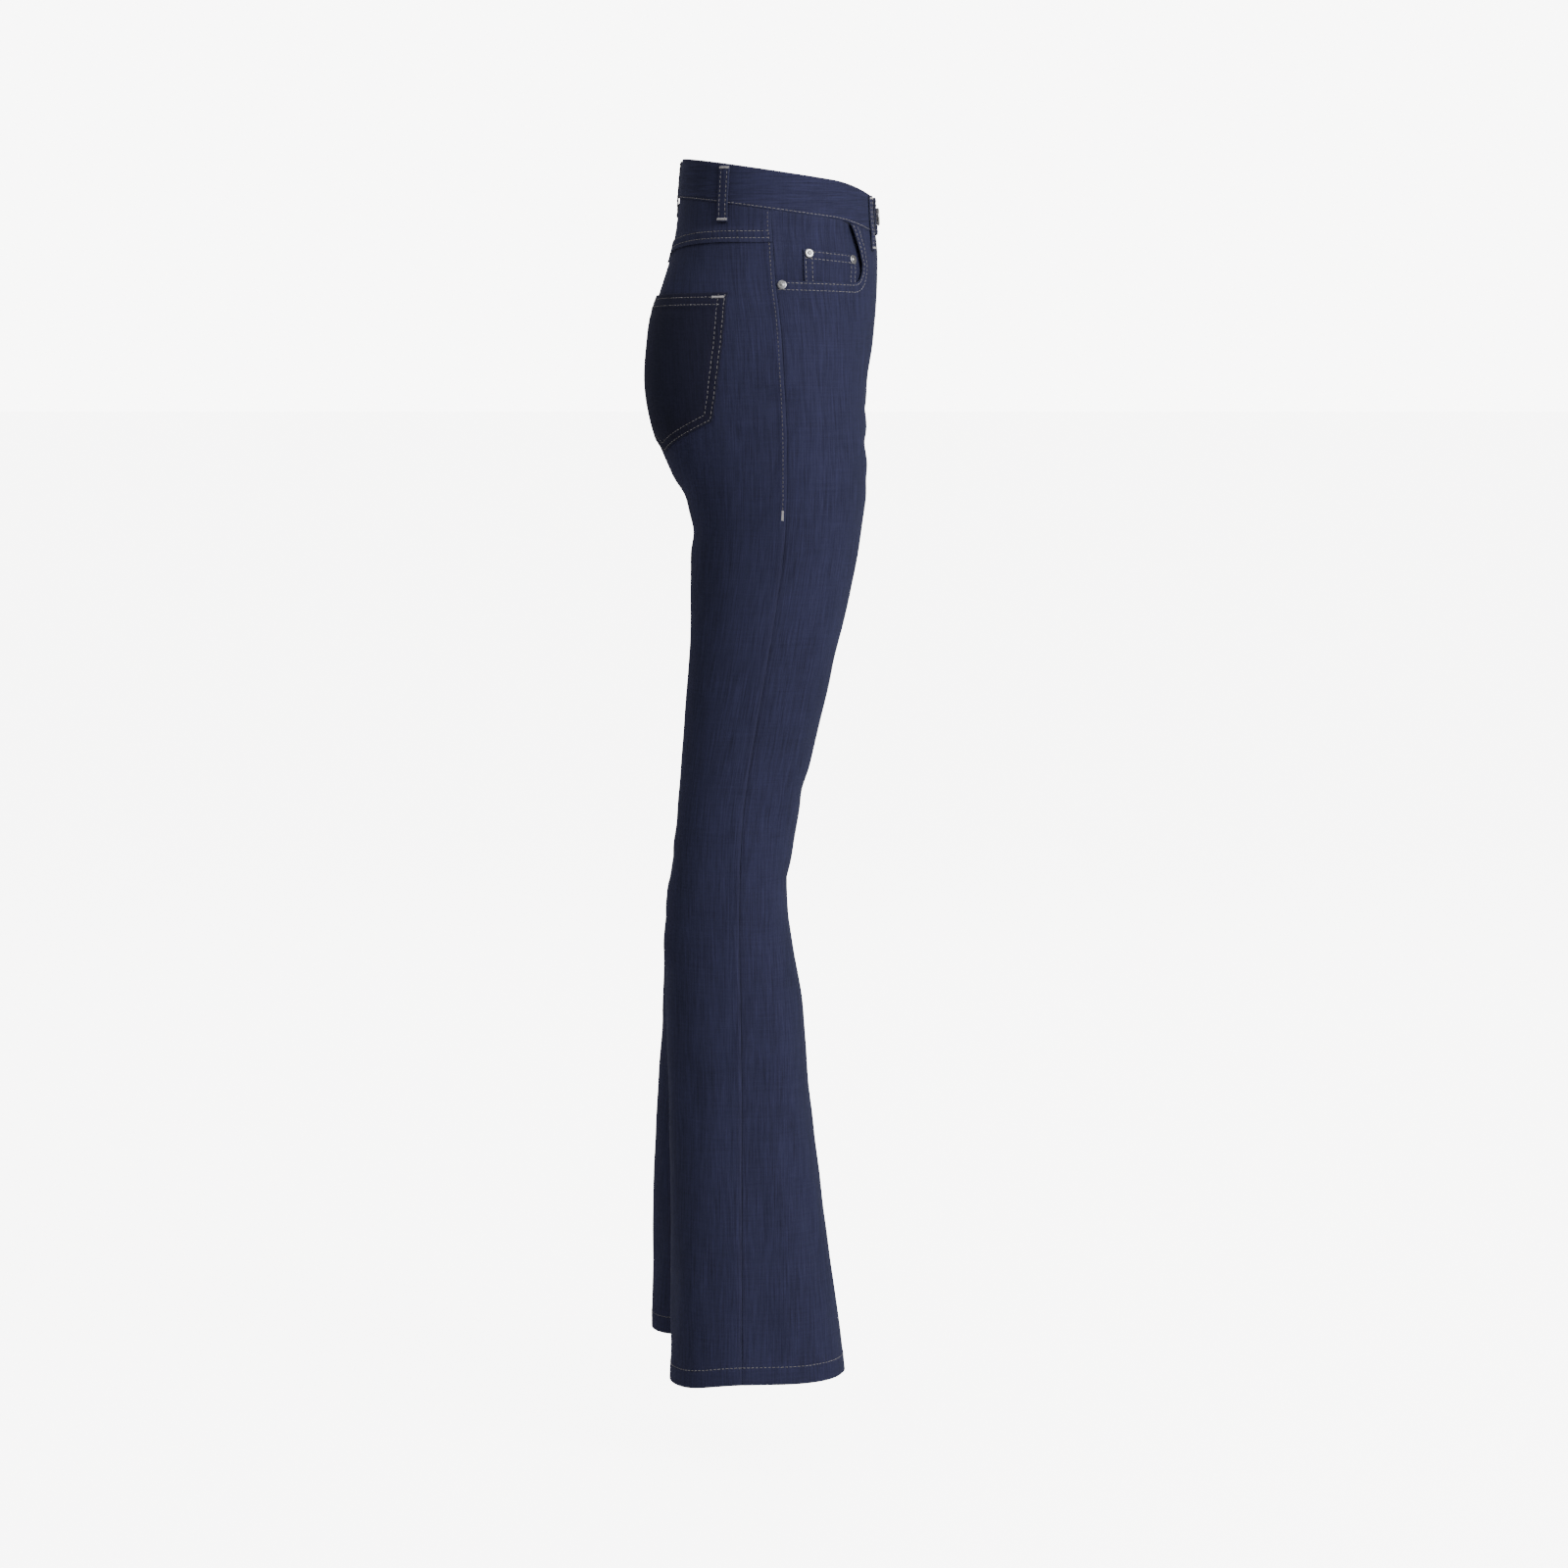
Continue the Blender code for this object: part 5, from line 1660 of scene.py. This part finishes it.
def make_light(name, place, size, power, aim=(0.0, 0.0, -0.55)):
    """A soft square light turned towards the jeans."""
    light = bpy.data.lights.new(name, "AREA")
    light.shape = "SQUARE"
    light.size = size
    light.energy = power
    lamp = bpy.data.objects.new(name, light)
    lamp.location = place
    lamp.visible_camera = False
    back = unit(np.array(place) - np.array(aim))
    lamp.rotation_euler = (math.acos(back[2]), 0, math.atan2(back[0], -back[1]))
    bpy.context.scene.collection.objects.link(lamp)


SKY_LIGHT = 0.34            # what the sky sheds on the jeans
SKY_SEEN = 8.5              # how bright it is where the camera looks past them
FLOOR_GLOW = 7.4            # and what the floor adds to its own light there
FLOOR_REACH = 40.0
WHITE = shade(1.0, 0.992, 0.985)


def make_sky():
    """An even pale sky. It is seen near white, and lights the jeans more softly."""
    sky = Finish("sky", {"Color": WHITE}, bpy.data.worlds, "Background")
    sky.feed("Strength", sky.camera_ray() * (SKY_SEEN - SKY_LIGHT) + SKY_LIGHT)
    bpy.context.scene.world = sky.data


def make_studio():
    """A pale floor under an even pale sky, a soft key from the front right, a top and a fill."""
    finish = Finish("studio_floor", {"Base Color": shade(0.6, 0.595, 0.59), "Roughness": 0.9,
                                     "Specular IOR Level": 0.1, "Emission Strength": FLOOR_GLOW})
    finish.feed("Emission Color", finish.blend(finish.camera_ray(), shade(0, 0, 0), WHITE))
    level = CAD_BOX[0][2] - FOOT_HEIGHT
    mesh = bpy.data.meshes.new("floor")
    mesh.from_pydata([(x * FLOOR_REACH, y * FLOOR_REACH, level)
                      for x, y in ((-1, -1), (1, -1), (1, 1), (-1, 1))], [], [(0, 1, 2, 3)])
    mesh.materials.append(finish.data)
    floor = bpy.data.objects.new("floor", mesh)
    bpy.context.scene.collection.objects.link(floor)
    make_sky()
    make_light("key", (-2.25, -2.0, 1.1), 1.5, 121)
    make_light("top", (-0.6, 0.6, 2.8), 1.6, 25)
    make_light("fill", (3.4, -0.2, 1.6), 2.0, 80)


# ---------------------------------------------------------------- the jeans

SEWING = {"waistband_stitching": sew_waistband, "yoke_and_seat_stitching": sew_yoke_and_seat,
          "side_seam_stitching": sew_side_seams, "front_pocket_stitching": sew_front_pockets,
          "back_pocket_stitching": sew_back_pockets,
          "fly_and_crotch_stitching": sew_fly_and_crotch, "inseam_stitching": sew_inseams,
          "hem_stitching": sew_hems, "belt_loop_stitching": sew_belt_loops}


def make_jeans():
    for side in SIDES:
        for make in (make_front_panel, make_back_panel, make_yoke, make_facing,
                     make_back_pocket, make_hem_turn_up):
            make(side)
    make_coin_pocket()
    make_waistband()
    for name, loop in belt_loops().items():
        make_belt_loop(name, loop)
    seam = float(waist_seam(4.0))
    make_fly_strip("zip_tape", TAPE_HALF, ZIP_LIFT, seam - TAPE_DOWN, FLY_END - TAPE_PAST, TAPE)
    make_fly_strip("fly_shield", SHIELD_HALF, ZIP_LIFT - LIGHT_DENIM - LAYER_GAP,
                   seam - SHIELD_DOWN, FLY_END - SHIELD_PAST, INDIGO)
    make_zip_teeth()
    make_slider()
    make_button()
    make_rivets()
    for name, sew in SEWING.items():
        thread = Thread(name)
        sew(thread)
        thread.finish()


make_camera()
make_jeans()
make_studio()
